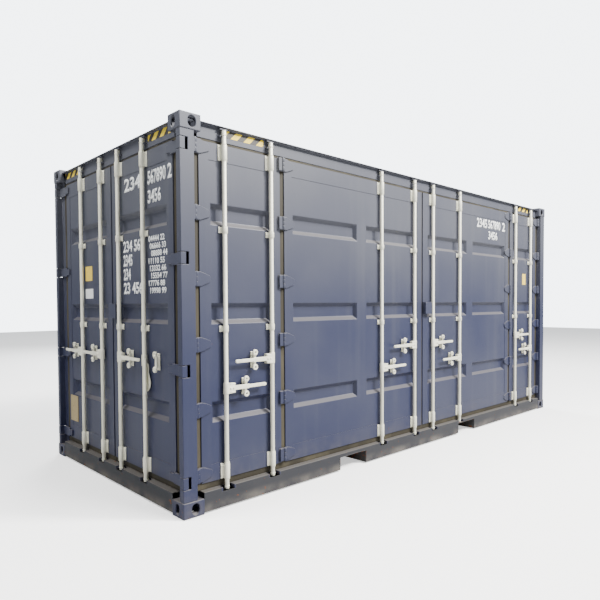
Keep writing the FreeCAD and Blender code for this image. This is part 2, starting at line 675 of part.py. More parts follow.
def make_end_doors(hardware):
    """Build both end doors: leaf, gasket, blades and bar fittings, the far side mirrored."""
    width = "(box_width / 2 - end_leaf_from_side - leaf_half_gap)"
    leaf = door_leaf(width, 1)
    near_leaf = copy_at(leaf, (f"{LEFT} + door_inset", "-leaf_half_gap", 0), turn=-90)
    sub_part("right_end_leaf", near_leaf)
    sub_part("left_end_leaf", copy_at(
        leaf, (f"{LEFT} + door_inset", f"{FAR} - end_leaf_from_side", 0), turn=-90))
    seal_face = (f"{LEFT} + gasket_inset", f"{LEFT} + gasket_inset + gasket_thickness")
    seal = cut(
        block((seal_face[0], f"{NEAR} + post_jamb_depth + gasket_gap", "sill_top + gasket_gap"),
              (seal_face[1], "-gasket_half_gap", "header_base - gasket_gap")),
        block((seal_face[0], f"{NEAR} + end_leaf_from_side", "leaf_base"),
              (seal_face[1], "-leaf_half_gap", "leaf_top")))
    sub_part("right_end_gasket", seal)
    sub_part("left_end_gasket", mirrored(seal, "y"))
    blades = group(*[end_hinge_blade(level) for level in end_hinge_heights()])
    sub_part("right_end_hinge_blades", blades)
    sub_part("left_end_hinge_blades", mirrored(blades, "y"))
    face = f"{LEFT} + door_inset"
    places = end_bar_places()
    for side, bars, toward in (("right", places[:2], 1), ("left", places[2:], -1)):
        fittings = []
        for place_y in bars:
            fittings += bar_fittings(hardware, (face, place_y), "upper_handle", -90, toward)
        sub_part(f"{side}_end_bar_fittings", group(*fittings))


# ---------------------------------------------------------------- lock gear


def bar_bracket(height):
    """Make a bracket round a lock bar at x = 0, with the leaf's face at y = 0."""
    stand = "(door_inset - bar_inset)"
    low, high = f"-{height} / 2", f"{height} / 2"
    plate = block(("-bracket_half_width", "-bracket_plate", low), ("bracket_half_width", 0, high))
    cheeks = block(("-bracket_nose", f"-{stand}", low), ("bracket_nose", "-bracket_plate", high))
    strap = rod((0, f"-{stand}", low), "bracket_nose", height)
    bore = rod((0, f"-{stand}", low), "bar_radius + bar_play", height)
    return cut(fuse(plate, cheeks, strap), bore)


def handle_catch():
    """Make a catch: a plate, a stem behind the handle, and an eye above and below it."""
    plate = block(("-catch_plate_width / 2", "-bracket_plate", "-catch_plate_height / 2"),
                  ("catch_plate_width / 2", 0, "catch_plate_height / 2"))
    stem = block(("-catch_stem_width / 2", "catch_stem_front - door_inset", "-catch_stem_top"),
                 ("catch_stem_width / 2", "-bracket_plate", "catch_stem_top"))
    front = "catch_front - door_inset"
    thickness = "catch_stem_front + catch_seat - catch_front"
    rises = ("catch_eye_rise", "-catch_eye_rise")
    eyes = [rod((0, front, rise), "catch_eye_radius", thickness, "y") for rise in rises]
    holes = [rod((0, front, rise), "catch_hole_radius", thickness, "y") for rise in rises]
    return cut(fuse(plate, stem, *eyes), *holes)


def bar_fittings(hardware, face, handle_level, turn, toward):
    """Place the four brackets and the catch of one bar on a leaf's face.

    Toward is +1 when the handle points to the right as one faces the leaf, else -1.
    """
    levels = (("lowest_bracket", "long"), ("lower_guide", "short"), ("upper_guide", "short"),
              ("highest_bracket", "long"))
    placed = [copy_at(hardware[kind], (*face, level), turn) for level, kind in levels]
    along_x, along_y = ((1, 0) if turn == 0 else (0, -1))
    catch_x = f"{face[0]} + {toward * along_x} * catch_reach"
    catch_y = f"{face[1]} + {toward * along_y} * catch_reach"
    placed.append(copy_at(hardware["catch"], (catch_x, catch_y, handle_level), turn))
    return placed


def lock_bar(handle_level, toward):
    """Make a lock bar on the Z axis: tube, two cams, hub and handle; toward 0 hangs it."""
    tube = rod((0, 0, "bar_base"), "bar_radius", "cam_top - bar_base")
    cams = [block(("-cam_width / 2", 0, "cam_base"), ("cam_width / 2", "cam_reach", "cam_top")),
            block(("-cam_width / 2", 0, "bar_base"),
                  ("cam_width / 2", "cam_reach", "bar_base + foot_cam_height"))]
    hub = rod((0, 0, f"{handle_level} - hub_height / 2"), "hub_radius", "hub_height")
    front = "(handle_front - bar_inset)"
    back = f"{front} + handle_thickness"
    low_z = f"{handle_level} - handle_height / 2"
    high_z = f"{handle_level} + handle_height / 2"
    if toward:
        handle = swung_handle(handle_level, toward, front, back)
    else:
        middle = "(bar_radius + hanging_handle_gap)"
        foot = f"{handle_level} - hanging_handle_length"
        arm = block((f"{middle} - handle_height / 2", front, foot),
                    (f"{middle} + handle_height / 2", back, high_z))
        lug = block((0, front, low_z), (middle, back, high_z))
        tip = rod((middle, front, foot), "handle_height / 2", "handle_thickness", "y")
        handle = fuse(lug, arm, tip)
    bore = rod((0, 0, "bar_base"), "bar_radius - bar_wall", "cam_top - bar_base")
    return cut(fuse(tube, *cams, hub, handle), bore)


def swung_handle(level, toward, front, back):
    """Make a handle that lies flat: block by the bar, arm as far as the catch, and grip."""
    neck = "(catch_reach + catch_eye_radius)"
    grip_end = "(handle_length - grip_height / 2)"
    stretches = (("0", "hub_block_reach", "hub_block_height", "-hub_radius", "hub_block_back"),
                 ("0", neck, "handle_height", front, back),
                 ("0", grip_end, "grip_height", front, back))
    parts = []
    for start, end, height, near, far in stretches:
        low_x, high_x = (start, end) if toward > 0 else (f"-{end}", start)
        parts.append(block((low_x, near, f"{level} - {height} / 2"),
                           (high_x, far, f"{level} + {height} / 2")))
    tip_x = grip_end if toward > 0 else f"-{grip_end}"
    tip = rod((tip_x, front, level), "grip_height / 2", "handle_thickness", "y")
    return fuse(*parts, tip)


def make_lock_bars():
    """Place the eight side bars and the four end bars."""
    kinds = {(level, toward): lock_bar(level, toward)
             for level in ("upper_handle", "lower_handle") for toward in (1, -1)}
    kinds["hanging"] = lock_bar("upper_handle", 0)
    levels = ("lower_handle", "upper_handle", "lower_handle", "upper_handle",
              "upper_handle", "lower_handle", "upper_handle", "lower_handle")
    for number_left, (place_x, level) in enumerate(zip(side_bar_places(), levels), start=1):
        toward = 1 if number_left % 2 else -1
        sub_part(f"side_lock_bar_{number_left}", copy_at(
            kinds[(level, toward)], (place_x, f"{NEAR} + bar_inset", 0)))
    names = ("right_outer", "right_inner", "left_inner", "left_outer")
    end_kinds = ("hanging", ("upper_handle", 1), ("upper_handle", -1), ("upper_handle", -1))
    for name, place_y, kind in zip(names, end_bar_places(), end_kinds):
        sub_part(f"{name}_end_lock_bar", copy_at(
            kinds[kind], (f"{LEFT} + bar_inset", place_y, 0), turn=-90))


def cam_keeper():
    """Make the keeper of one bar at x = 0, header face at y = 0: ears above, cheeks below."""
    front = "bar_inset - header_inset"
    half = "keeper_width / 2"
    ear_base = "cam_top + keeper_gap"
    cheek_top = "cam_base - keeper_gap"
    parts = [block((f"-{half}", front, ear_base), (half, 0, f"{ear_base} + keeper_plate"))]
    cheek_start = "(bar_radius + keeper_gap)"
    for low, high in ((f"-{half}", f"-{cheek_start}"), (cheek_start, half)):
        parts.append(block((low, front, f"{cheek_top} - keeper_plate"), (high, 0, cheek_top)))
    notch_half = "cam_notch_width / 2"
    for low, high in ((f"-{notch_half}", f"-{notch_half} + keeper_cheek"),
                      (f"{notch_half} - keeper_cheek", notch_half)):
        parts.append(block((low, "skin_inset - header_inset", "sill_top - cam_notch_height"),
                           (high, "cam_notch_depth - header_inset", "sill_top")))
    return group(*parts)


def make_keepers():
    """Place the keepers on the headers and in the sill notches."""
    keeper = cam_keeper()
    sub_part("side_cam_keepers", group(*[
        copy_at(keeper, (place_x, f"{NEAR} + header_inset", 0)) for place_x in side_bar_places()]))
    sub_part("end_cam_keepers", group(*[
        copy_at(keeper, (f"{LEFT} + header_inset", place_y, 0), turn=-90)
        for place_y in end_bar_places()]))


def lock_box(start, end):
    """Make the cover of a padlock on a leaf's face at y = 0, open underneath."""
    shell = block((start, "-lock_box_depth", "lock_box_base"),
                  (end, 0, "lock_box_base + lock_box_height"))
    hollow = block((f"{start} + lock_box_wall", "lock_box_wall - lock_box_depth", "lock_box_base"),
                   (f"{end} - lock_box_wall", 0,
                    "lock_box_base + lock_box_height - lock_box_wall"))
    return cut(shell, hollow)


def make_lock_boxes():
    """Place the lock boxes on the right wide leaf and on the right end door."""
    box_item = lock_box("0", "lock_box_width")
    sub_part("side_lock_box", copy_at(box_item, ("leaf_half_gap", f"{NEAR} + door_inset", 0)))
    sub_part("end_lock_box", copy_at(
        box_item, (f"{LEFT} + door_inset", "-leaf_half_gap", 0), turn=-90))


def side_hinge(line, level, post_side):
    """Make one hinge of the folding doors about a vertical line of the left half."""
    face = f"{NEAR} + door_inset"
    back = f"{face} - side_blade_plate"
    low = f"{level} - side_hinge_height / 2"
    high = f"{level} + side_hinge_height / 2"
    front = f"{NEAR} + side_knuckle_inset"
    parts = [rod((line, front, low), "side_knuckle_radius", "side_hinge_height"),
             block((line, back, low), (f"{line} + side_blade_length / 2", face, high)),
             block((line, back, f"{level} - side_blade_tip / 2"),
                   (f"{line} + side_blade_length", face, f"{level} + side_blade_tip / 2"))]
    if post_side:
        parts.append(block((f"{LEFT} + post_side_face", f"{front} - side_knuckle_radius", low),
                           (line, face, high)))
    else:
        parts.append(block((f"{line} - side_lug_length", back, low), (line, face, high)))
    return fuse(*parts)


def make_side_gear(hardware):
    """Build the hinges, brackets and catches of the side doors."""
    levels = [f"lowest_side_hinge + {index} * side_hinge_pitch" for index in range(6)]
    left = group(*[side_hinge(line, level, post_side)
                   for line, post_side in ((f"{LEFT} + post_hinge_line", True),
                                           ("-fold_line", False))
                   for level in levels])
    sub_part("side_leaf_hinges", group(left, mirrored(left, "x")))
    fittings = []
    handle_levels = ("lower_handle", "upper_handle", "lower_handle", "upper_handle",
                     "upper_handle", "lower_handle", "upper_handle", "lower_handle")
    for index, (place_x, level) in enumerate(zip(side_bar_places(), handle_levels)):
        fittings += bar_fittings(hardware, (place_x, f"{NEAR} + door_inset"), level, 0,
                                 1 if index % 2 == 0 else -1)
    sub_part("side_bar_fittings", group(*fittings))


def check_and_write():
    """Stop on a failed feature or a bad shape, then write one STEP file per sub-part."""
    document.recompute()
    for item in document.Objects:
        if {"Invalid", "Error"} & set(item.State):
            raise RuntimeError(f"{item.Label} failed: {item.State}")
    for item in sub_parts:
        shape = Part.getShape(item)
        if shape.isNull() or not shape.isValid():
            raise RuntimeError(f"{item.Label} has a bad shape")
    os.makedirs("parts", exist_ok=True)
    for item in sub_parts:
        Part.getShape(item).exportStep(os.path.join("parts", item.Label + ".step"))


make_castings()
make_posts()
make_end_hinge_pins()
make_side_rails()
make_end_rails()
make_sheets()
make_underframe()
gear = {"long": bar_bracket("end_bracket_height"), "short": bar_bracket("guide_height"),
        "catch": handle_catch()}
make_side_leaves()
make_side_gear(gear)
make_end_doors(gear)
make_lock_bars()
make_keepers()
make_lock_boxes()
check_and_write()
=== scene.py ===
"""Looks of a twenty-foot shipping container with folding side doors and hinged end doors.

Metres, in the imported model's frame: X along the length with the end doors at -X, the side
doors at -Y, Z up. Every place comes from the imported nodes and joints.
"""

import json
import logging
import math
from dataclasses import dataclass
from enum import Enum
from typing import Any, Sequence

import bmesh
import bpy
from mathutils import Matrix, Vector

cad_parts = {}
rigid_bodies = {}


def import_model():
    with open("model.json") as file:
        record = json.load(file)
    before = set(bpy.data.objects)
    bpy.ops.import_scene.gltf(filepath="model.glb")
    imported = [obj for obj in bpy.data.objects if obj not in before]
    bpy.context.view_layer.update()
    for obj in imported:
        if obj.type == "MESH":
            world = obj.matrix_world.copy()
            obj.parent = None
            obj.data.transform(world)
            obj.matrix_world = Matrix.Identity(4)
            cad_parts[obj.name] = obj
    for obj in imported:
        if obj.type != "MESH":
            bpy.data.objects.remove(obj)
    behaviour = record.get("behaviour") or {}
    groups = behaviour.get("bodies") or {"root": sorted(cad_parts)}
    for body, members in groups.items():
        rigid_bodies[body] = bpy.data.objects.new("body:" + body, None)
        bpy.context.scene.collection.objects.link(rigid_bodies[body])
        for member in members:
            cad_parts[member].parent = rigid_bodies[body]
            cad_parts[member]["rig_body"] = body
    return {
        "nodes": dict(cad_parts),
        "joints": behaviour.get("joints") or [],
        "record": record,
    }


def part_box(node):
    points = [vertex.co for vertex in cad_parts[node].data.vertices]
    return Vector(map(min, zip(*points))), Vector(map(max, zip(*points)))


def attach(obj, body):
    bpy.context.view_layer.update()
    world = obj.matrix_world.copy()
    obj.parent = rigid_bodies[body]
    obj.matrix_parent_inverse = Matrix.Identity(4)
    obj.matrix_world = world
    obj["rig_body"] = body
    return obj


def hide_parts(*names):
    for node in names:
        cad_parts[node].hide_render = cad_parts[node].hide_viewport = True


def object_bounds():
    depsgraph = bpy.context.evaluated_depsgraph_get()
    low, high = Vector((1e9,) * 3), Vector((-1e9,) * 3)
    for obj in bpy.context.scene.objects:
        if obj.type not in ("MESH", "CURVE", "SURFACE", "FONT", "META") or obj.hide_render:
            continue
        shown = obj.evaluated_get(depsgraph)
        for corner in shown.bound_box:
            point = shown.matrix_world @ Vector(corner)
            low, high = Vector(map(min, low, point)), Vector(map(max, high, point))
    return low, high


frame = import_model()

CAD_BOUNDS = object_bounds()
log = logging.getLogger("container")
Colour = tuple[float, float, float]
Place = tuple[float, float, float]
Area = tuple[float, float, float, float]


class Axis(Enum):
    """A row axis, as the turn that brings +Z onto it."""

    X = (0, math.pi / 2, 0)
    Y = (-math.pi / 2, 0, 0)
    Z = (0, 0, 0)

    def turn(self) -> Matrix:
        """Make the turn.

        Returns:
            The turning matrix.
        """
        about_x, about_y, about_z = self.value
        return (Matrix.Rotation(about_z, 4, "Z") @ Matrix.Rotation(about_y, 4, "Y")
                @ Matrix.Rotation(about_x, 4, "X"))


# ---------------------------------------------------------------- shader nodes


class Socket:
    """A node's output that takes part in Python arithmetic."""

    def __init__(self, tree: "Tree", link: Any) -> None:
        """Wrap one output of one tree."""
        self.tree = tree
        self.link = link

    def math(self, operation: str, *others: Any, swapped: bool = False) -> "Socket":
        """Add a Math node.

        Args:
            operation: the node's operation.
            others: the further operands.
            swapped: whether this socket is the second operand.

        Returns:
            The node's value.
        """
        operands = [*others, self] if swapped else [self, *others]
        return self.tree.add("ShaderNodeMath", {"operation": operation}, dict(enumerate(operands)))

    def __add__(self, other: Any) -> "Socket":
        """Add."""
        return self.math("ADD", other)

    __radd__ = __add__

    def __sub__(self, other: Any) -> "Socket":
        """Subtract."""
        return self.math("SUBTRACT", other)

    def __rsub__(self, other: Any) -> "Socket":
        """Subtract from a number."""
        return self.math("SUBTRACT", other, swapped=True)

    def __mul__(self, other: Any) -> "Socket":
        """Multiply."""
        return self.math("MULTIPLY", other)

    __rmul__ = __mul__

    def __truediv__(self, other: Any) -> "Socket":
        """Divide."""
        return self.math("DIVIDE", other)

    def __gt__(self, other: Any) -> "Socket":
        """Give 1 where this is the greater."""
        return self.math("GREATER_THAN", other)

    def ramp(self, low: float, high: float) -> "Socket":
        """Rise smoothly from 0 at low to 1 at high."""
        return self.tree.add("ShaderNodeMapRange", {"interpolation_type": "SMOOTHSTEP"},
                             {"Value": self, "From Min": low, "From Max": high})


class Tree:
    """The node tree of one material."""

    def __init__(self, name: str) -> None:
        """Start an empty tree.

        Args:
            name: the material's name.
        """
        self.material = bpy.data.materials.new(name)
        self.material.use_nodes = True
        self.nodes = self.material.node_tree.nodes
        self.nodes.clear()

    def add(self, kind: str, settings: dict[str, Any] | None = None,
            inputs: dict[Any, Any] | None = None, output: Any = 0) -> Socket:
        """Add a node, set it up and join its inputs.

        Args:
            kind: the node's type.
            settings: its own properties, set before its inputs.
            inputs: a value or a Socket for each input, by name or index.
            output: the name or index of the output to give back.

        Returns:
            That output.
        """
        node = self.nodes.new(kind)
        for name, value in (settings or {}).items():
            setattr(node, name, value)
        for name, value in (inputs or {}).items():
            if isinstance(value, Socket):
                self.material.node_tree.links.new(value.link, node.inputs[name])
            else:
                node.inputs[name].default_value = value
        return Socket(self, node.outputs[output] if len(node.outputs) else None)

    def place(self) -> Socket:
        """Give the point on the surface, in the row frame."""
        return self.add("ShaderNodeTexCoord", output="Object")

    def axes(self) -> tuple[Socket, Socket, Socket]:
        """Split the point into its coordinates.

        Returns:
            Its x, y and z.
        """
        parts = self.add("ShaderNodeSeparateXYZ", None, {"Vector": self.place()})
        return tuple(Socket(self, parts.link.node.outputs[name]) for name in "XYZ")

    def noise(self, scale: float, detail: float = 3, stretch: Sequence[float] = (1, 1, 1),
              roughness: float = 0.5) -> Socket:
        """Give a fractal noise from 0 to 1.

        Args:
            scale: features per metre.
            detail: octaves.
            stretch: how much denser it is along each axis.
            roughness: how much the fine octaves count.

        Returns:
            The noise.
        """
        at = self.add("ShaderNodeMapping", None, {"Vector": self.place(), "Scale": stretch})
        return self.add("ShaderNodeTexNoise", None, {
            "Vector": at, "Scale": scale, "Detail": detail, "Roughness": roughness})

    def mix(self, share: Any, under: Any, over: Any) -> Socket:
        """Mix two colours.

        Args:
            share: the share of the second, from 0 to 1.
            under: the first colour.
            over: the second colour.

        Returns:
            The mixed colour.
        """
        colours = [value if isinstance(value, Socket) else (*value, 1) for value in (under, over)]
        return self.add("ShaderNodeMix", {"data_type": "RGBA"},
                        {"Factor": share, 6: colours[0], 7: colours[1]}, 2)

    def upward(self) -> Socket:
        """Find the surfaces that face up, where dust settles and where a painted highlight
        lightens them.

        Returns:
            0 on walls and undersides to 1 on flats.
        """
        parts = self.add("ShaderNodeSeparateXYZ", None,
                         {"Vector": self.add("ShaderNodeNewGeometry", output="Normal")})
        return Socket(self, parts.link.node.outputs["Z"]).ramp(0.35, 0.8)

    def surface(self, colour: Socket, roughness: Any, relief: Socket | None = None,
                depth: float = 0.001, **constants: Any) -> bpy.types.Material:
        """Finish the material with a Principled shader.

        Args:
            colour: the base colour.
            roughness: the roughness, a socket or a number.
            relief: a height from 0 to 1 for the bump.
            depth: how deep that bump is, in metres.
            constants: the shader's own values, with _ for a space.

        Returns:
            The material.
        """
        inputs = {"Base Color": colour, "Roughness": roughness}
        if relief is not None:
            inputs["Normal"] = self.add("ShaderNodeBump", None, {
                "Height": relief, "Distance": depth, "Strength": 1.0})
        inputs.update({name.replace("_", " "): value for name, value in constants.items()})
        shader = self.add("ShaderNodeBsdfPrincipled", None, inputs)
        self.add("ShaderNodeOutputMaterial", None, {"Surface": shader})
        return self.material


@dataclass(frozen=True)
class Paint:
    """Weathered gloss paint on steel: chalky clouds, dust, road splash, streaks and rust specks,
    with painted sky reflection paling the top and painted highlight on up-facing faces.
    """

    name: str
    colour: Colour
    # pale tone for the chalky clouds and streaks, and for the painted sky reflection at the top
    chalk_and_sky_reflection: Colour
    # dust and splash colour; on up-facing faces it also serves as painted highlight
    dust: Colour = (0.15, 0.135, 0.115)
    rust: Colour = (0.16, 0.055, 0.02)
    sheen: float = 0.36
    rust_level: float = 0.725
    splash_height: float = 0.45
    soiling: float = 0.30
    # the painted sky reflection starts at the first height and is full at the second
    reflection_from: float = 0.9
    reflection_top: float = 2.8

    def build(self) -> bpy.types.Material:
        """Make the material.

        Returns:
            The material.
        """
        tree = Tree(self.name)
        clouds = tree.noise(0.9, 5)
        streaks = tree.noise(7.0, 4, (1, 1, 0.045)).ramp(0.5, 0.78)
        grain = tree.noise(95.0, 2)
        peel = tree.noise(420.0, 1)
        height = tree.axes()[2]
        splash = (1 - height.ramp(0.02, self.splash_height)) * tree.noise(6.0, 5).ramp(0.3, 0.7)
        specks = (tree.noise(23.0, 6, roughness=0.66) + 0.10 * (1 - height.ramp(0.0, 0.5))
                  ).ramp(self.rust_level, self.rust_level + 0.035)
        # painted sky reflection: the paint is mixed towards the pale tone with height, so the top
        # reads as if it mirrored the bright sky; clouds and streaks add real chalky tone
        painted_sky_reflection = height.ramp(self.reflection_from, self.reflection_top)
        paler = tree.mix(painted_sky_reflection * 0.56 + clouds.ramp(0.35, 0.7) * 0.14 + streaks * 0.10,
                         self.colour, self.chalk_and_sky_reflection)
        # up-facing faces take the dust colour: real dust, and also a painted highlight where light
        # from above falls on the trough slopes
        dust_and_painted_highlight = tree.mix(splash * self.soiling + tree.upward() * 0.42 + grain * 0.03, paler,
                         self.dust)
        colour = tree.mix(specks * 0.85, dust_and_painted_highlight, self.rust)
        roughness = self.sheen + clouds * 0.1 + splash * 0.25 + specks * 0.35 + grain * 0.04
        return tree.surface(colour, roughness, peel * 0.25 + grain * 0.5 + specks * 1.2, 0.0004,
                            Specular_IOR_Level=0.34)


@dataclass(frozen=True)
class Zinc:
    """Pale zinc-plated or galvanised steel with a fine spangle and dull stains."""

    name: str
    colour: Colour = (0.80, 0.785, 0.65)
    stain: Colour = (0.42, 0.39, 0.31)
    rust: Colour = (0.24, 0.10, 0.045)

    def build(self) -> bpy.types.Material:
        """Make the material.

        Returns:
            The material.
        """
        tree = Tree(self.name)
        at = tree.place()
        spangle = tree.add("ShaderNodeTexVoronoi", {"feature": "F1"},
                           {"Vector": at, "Scale": 140.0}, "Color")
        parts = tree.add("ShaderNodeSeparateColor", None, {"Color": spangle})
        flake = Socket(tree, parts.link.node.outputs[0])
        stains = tree.noise(11.0, 5, (1, 1, 0.22)).ramp(0.52, 0.8)
        specks = tree.noise(60.0, 5, roughness=0.7).ramp(0.70, 0.76)
        colour = tree.mix(stains * 0.55 + flake * 0.10, self.colour, self.stain)
        colour = tree.mix(specks * 0.5, colour, self.rust)
        return tree.surface(colour, 0.40 + flake * 0.12 + stains * 0.15 + specks * 0.2,
                            flake * 0.3 + tree.noise(300.0, 2) * 0.6, 0.0003,
                            Metallic=0.25, Specular_IOR_Level=0.5)


@dataclass(frozen=True)
class Rubber:
    """Sun-bleached olive grey door rubber with fine ribs and dust."""

    name: str
    colour: Colour = (0.026, 0.022, 0.014)
    bleached: Colour = (0.070, 0.060, 0.038)

    def build(self) -> bpy.types.Material:
        """Make the material.

        Returns:
            The material.
        """
        tree = Tree(self.name)
        worn = tree.noise(5.0, 5, (1, 1, 0.3)).ramp(0.4, 0.72)
        fine = tree.noise(210.0, 2)
        colour = tree.mix(worn * 0.7 + fine * 0.1, self.colour, self.bleached)
        return tree.surface(colour, 0.62 + worn * 0.2, fine + worn * 0.6, 0.0005,
                            Specular_IOR_Level=0.3)


@dataclass(frozen=True)
class Ply:
    """Sealed hardwood floor boards: long grain, butt joints and wheel scuffs."""

    name: str
    colour: Colour = (0.24, 0.115, 0.05)
    pale: Colour = (0.36, 0.20, 0.10)
    scuff: Colour = (0.11, 0.085, 0.065)
    board_length: float = 2.4
    board_width: float = 1.13

    def build(self) -> bpy.types.Material:
        """Make the material.

        Returns:
            The material.
        """
        tree = Tree(self.name)
        along, across, _ = tree.axes()
        grain = tree.noise(14.0, 6, (0.12, 3.2, 1), 0.62)
        scuffs = tree.noise(3.0, 6, (0.25, 2.0, 1), 0.68).ramp(0.5, 0.72)
        joint_x = ((along / self.board_length).math("FRACT") - 0.5).math("ABSOLUTE") > 0.4988
        joint_y = ((across / self.board_width).math("FRACT") - 0.5).math("ABSOLUTE") > 0.4975
        joint = joint_x.math("MAXIMUM", joint_y)
        colour = tree.mix(grain.ramp(0.35, 0.65), self.colour, self.pale)
        colour = tree.mix(scuffs * 0.6, colour, self.scuff)
        colour = tree.mix(joint, colour, (0.03, 0.022, 0.016))
        return tree.surface(colour, 0.5 + scuffs * 0.25, grain * 0.5 - joint * 2.0, 0.0008,
                            Specular_IOR_Level=0.4)


@dataclass(frozen=True)
class Stripes:
    """Slanted hazard bands, faded and a little chipped."""

    name: str
    light: Colour = (0.80, 0.58, 0.03)
    dark: Colour = (0.035, 0.03, 0.025)
    pitch: float = 0.124

    def build(self) -> bpy.types.Material:
        """Make the material.

        Returns:
            The material.
        """
        tree = Tree(self.name)
        along, across, up = tree.axes()
        phase = (up + across - along) / self.pitch
        band = (phase.math("FRACT") - 0.5).math("ABSOLUTE").ramp(0.242, 0.258)
        worn = tree.noise(30.0, 6, roughness=0.65).ramp(0.57, 0.66)
        colour = tree.mix(band, self.light, self.dark)
        colour = tree.mix(worn * 0.35, colour, (0.22, 0.2, 0.15))
        return tree.surface(colour, 0.5 + worn * 0.2, tree.noise(200.0, 2), 0.0002)


@dataclass(frozen=True)
class Print:
    """A flat printed or sprayed mark, slightly uneven and scuffed."""

    name: str
    colour: Colour
    worn_colour: Colour = (0.22, 0.23, 0.27)
    wear: float = 0.45

    def build(self) -> bpy.types.Material:
        """Make the material.

        Returns:
            The material.
        """
        tree = Tree(self.name)
        worn = tree.noise(38.0, 6, roughness=0.68).ramp(0.56, 0.68)
        cloud = tree.noise(4.0, 3)
        colour = tree.mix(worn * self.wear + cloud * 0.12, self.colour, self.worn_colour)
        return tree.surface(colour, 0.5 + worn * 0.2, tree.noise(240.0, 2), 0.0002)


@dataclass(frozen=True)
class Ground:
    """The studio floor: pale, matt, with the faintest unevenness."""

    name: str = "studio_floor"

    def build(self) -> bpy.types.Material:
        """Make the material.

        Returns:
            The material.
        """
        tree = Tree(self.name)
        cloud = tree.noise(0.6, 3)
        pale = tree.mix(cloud * 0.2, (0.94, 0.94, 0.935), (0.90, 0.90, 0.895))
        seen = tree.add("ShaderNodeLightPath", output="Is Camera Ray")
        return tree.surface(tree.mix(seen, (0.45, 0.45, 0.45), pale), 0.85,
                            Emission_Color=tree.mix(seen, (0.0, 0.0, 0.0), (0.95, 0.95, 0.95)),
                            Emission_Strength=0.8)


@dataclass(frozen=True)
class Palette:
    """Every finish of the container, built once."""

    navy: bpy.types.Material
    sill: bpy.types.Material
    underframe: bpy.types.Material
    zinc: bpy.types.Material
    rubber: bpy.types.Material
    ply: bpy.types.Material
    stripes: bpy.types.Material
    white: bpy.types.Material
    yellow: bpy.types.Material
    plate: bpy.types.Material

    @classmethod
    def make(cls) -> "Palette":
        """Build all the materials.

        Returns:
            The palette.
        """
        return cls(
            navy=Paint("navy_paint", (0.014, 0.018, 0.050), (0.108, 0.111, 0.120)).build(),
            sill=Paint("soiled_paint", (0.020, 0.021, 0.026), (0.060, 0.058, 0.056),
                       sheen=0.5, splash_height=0.10, soiling=0.7).build(),
            underframe=Paint("underframe_paint", (0.018, 0.019, 0.024), (0.05, 0.05, 0.055),
                             sheen=0.6, rust_level=0.66, splash_height=0.2).build(),
            zinc=Zinc("lock_gear_zinc").build(),
            rubber=Rubber("seal_rubber").build(),
            ply=Ply("floor_ply").build(),
            stripes=Stripes("hazard_bands").build(),
            white=Print("white_marking", (0.74, 0.75, 0.74), wear=0.3).build(),
            yellow=Print("yellow_sticker", (0.74, 0.52, 0.05), wear=0.3).build(),
            plate=Print("brass_plate", (0.33, 0.25, 0.11), (0.15, 0.12, 0.07)).build(),
        )

    def for_slot(self, slot_name: str) -> bpy.types.Material:
        """Give the material of one of the record's slots."""
        return {"navy_paint": self.navy, "lock_gear_zinc": self.zinc, "seal_rubber": self.rubber,
                "floor_ply": self.ply, "underframe_paint": self.underframe}[slot_name]


# ---------------------------------------------------------------- making pieces


class Face(Enum):
    """A face of the container that carries doors, with its outward direction."""

    SIDE = "the long side with the folding doors"
    END = "the end with the hinged doors"

    def point(self, right: float, depth: float, height: float) -> Vector:
        """Give a point of the face.

        Args:
            right: how far right of the middle it is, as one faces the face.
            depth: how far it stands back from the container's outermost face.
            height: its height over the ground.

        Returns:
            The point in the row frame.
        """
        low = CAD_BOUNDS[0]
        if self is Face.SIDE:
            return Vector((right, low[1] + depth, height))
        return Vector((low[0] + depth, -right, height))

    def inward(self) -> Axis:
        """Give the axis that runs into the container."""
        return Axis.Y if self is Face.SIDE else Axis.X

    def outward(self) -> Vector:
        """Give the direction that points out of the container."""
        return -(self.inward().turn().to_3x3() @ Vector((0, 0, 1)))

    def along(self) -> Axis:
        """Give the axis that runs along the face."""
        return Axis.X if self is Face.SIDE else Axis.Y

    def upright(self) -> Matrix:
        """Give the turn that stands flat artwork up on the face, to be read from outside."""
        turn = Matrix.Rotation(math.pi / 2, 4, "X")
        return turn if self is Face.SIDE else Matrix.Rotation(-math.pi / 2, 4, "Z") @ turn


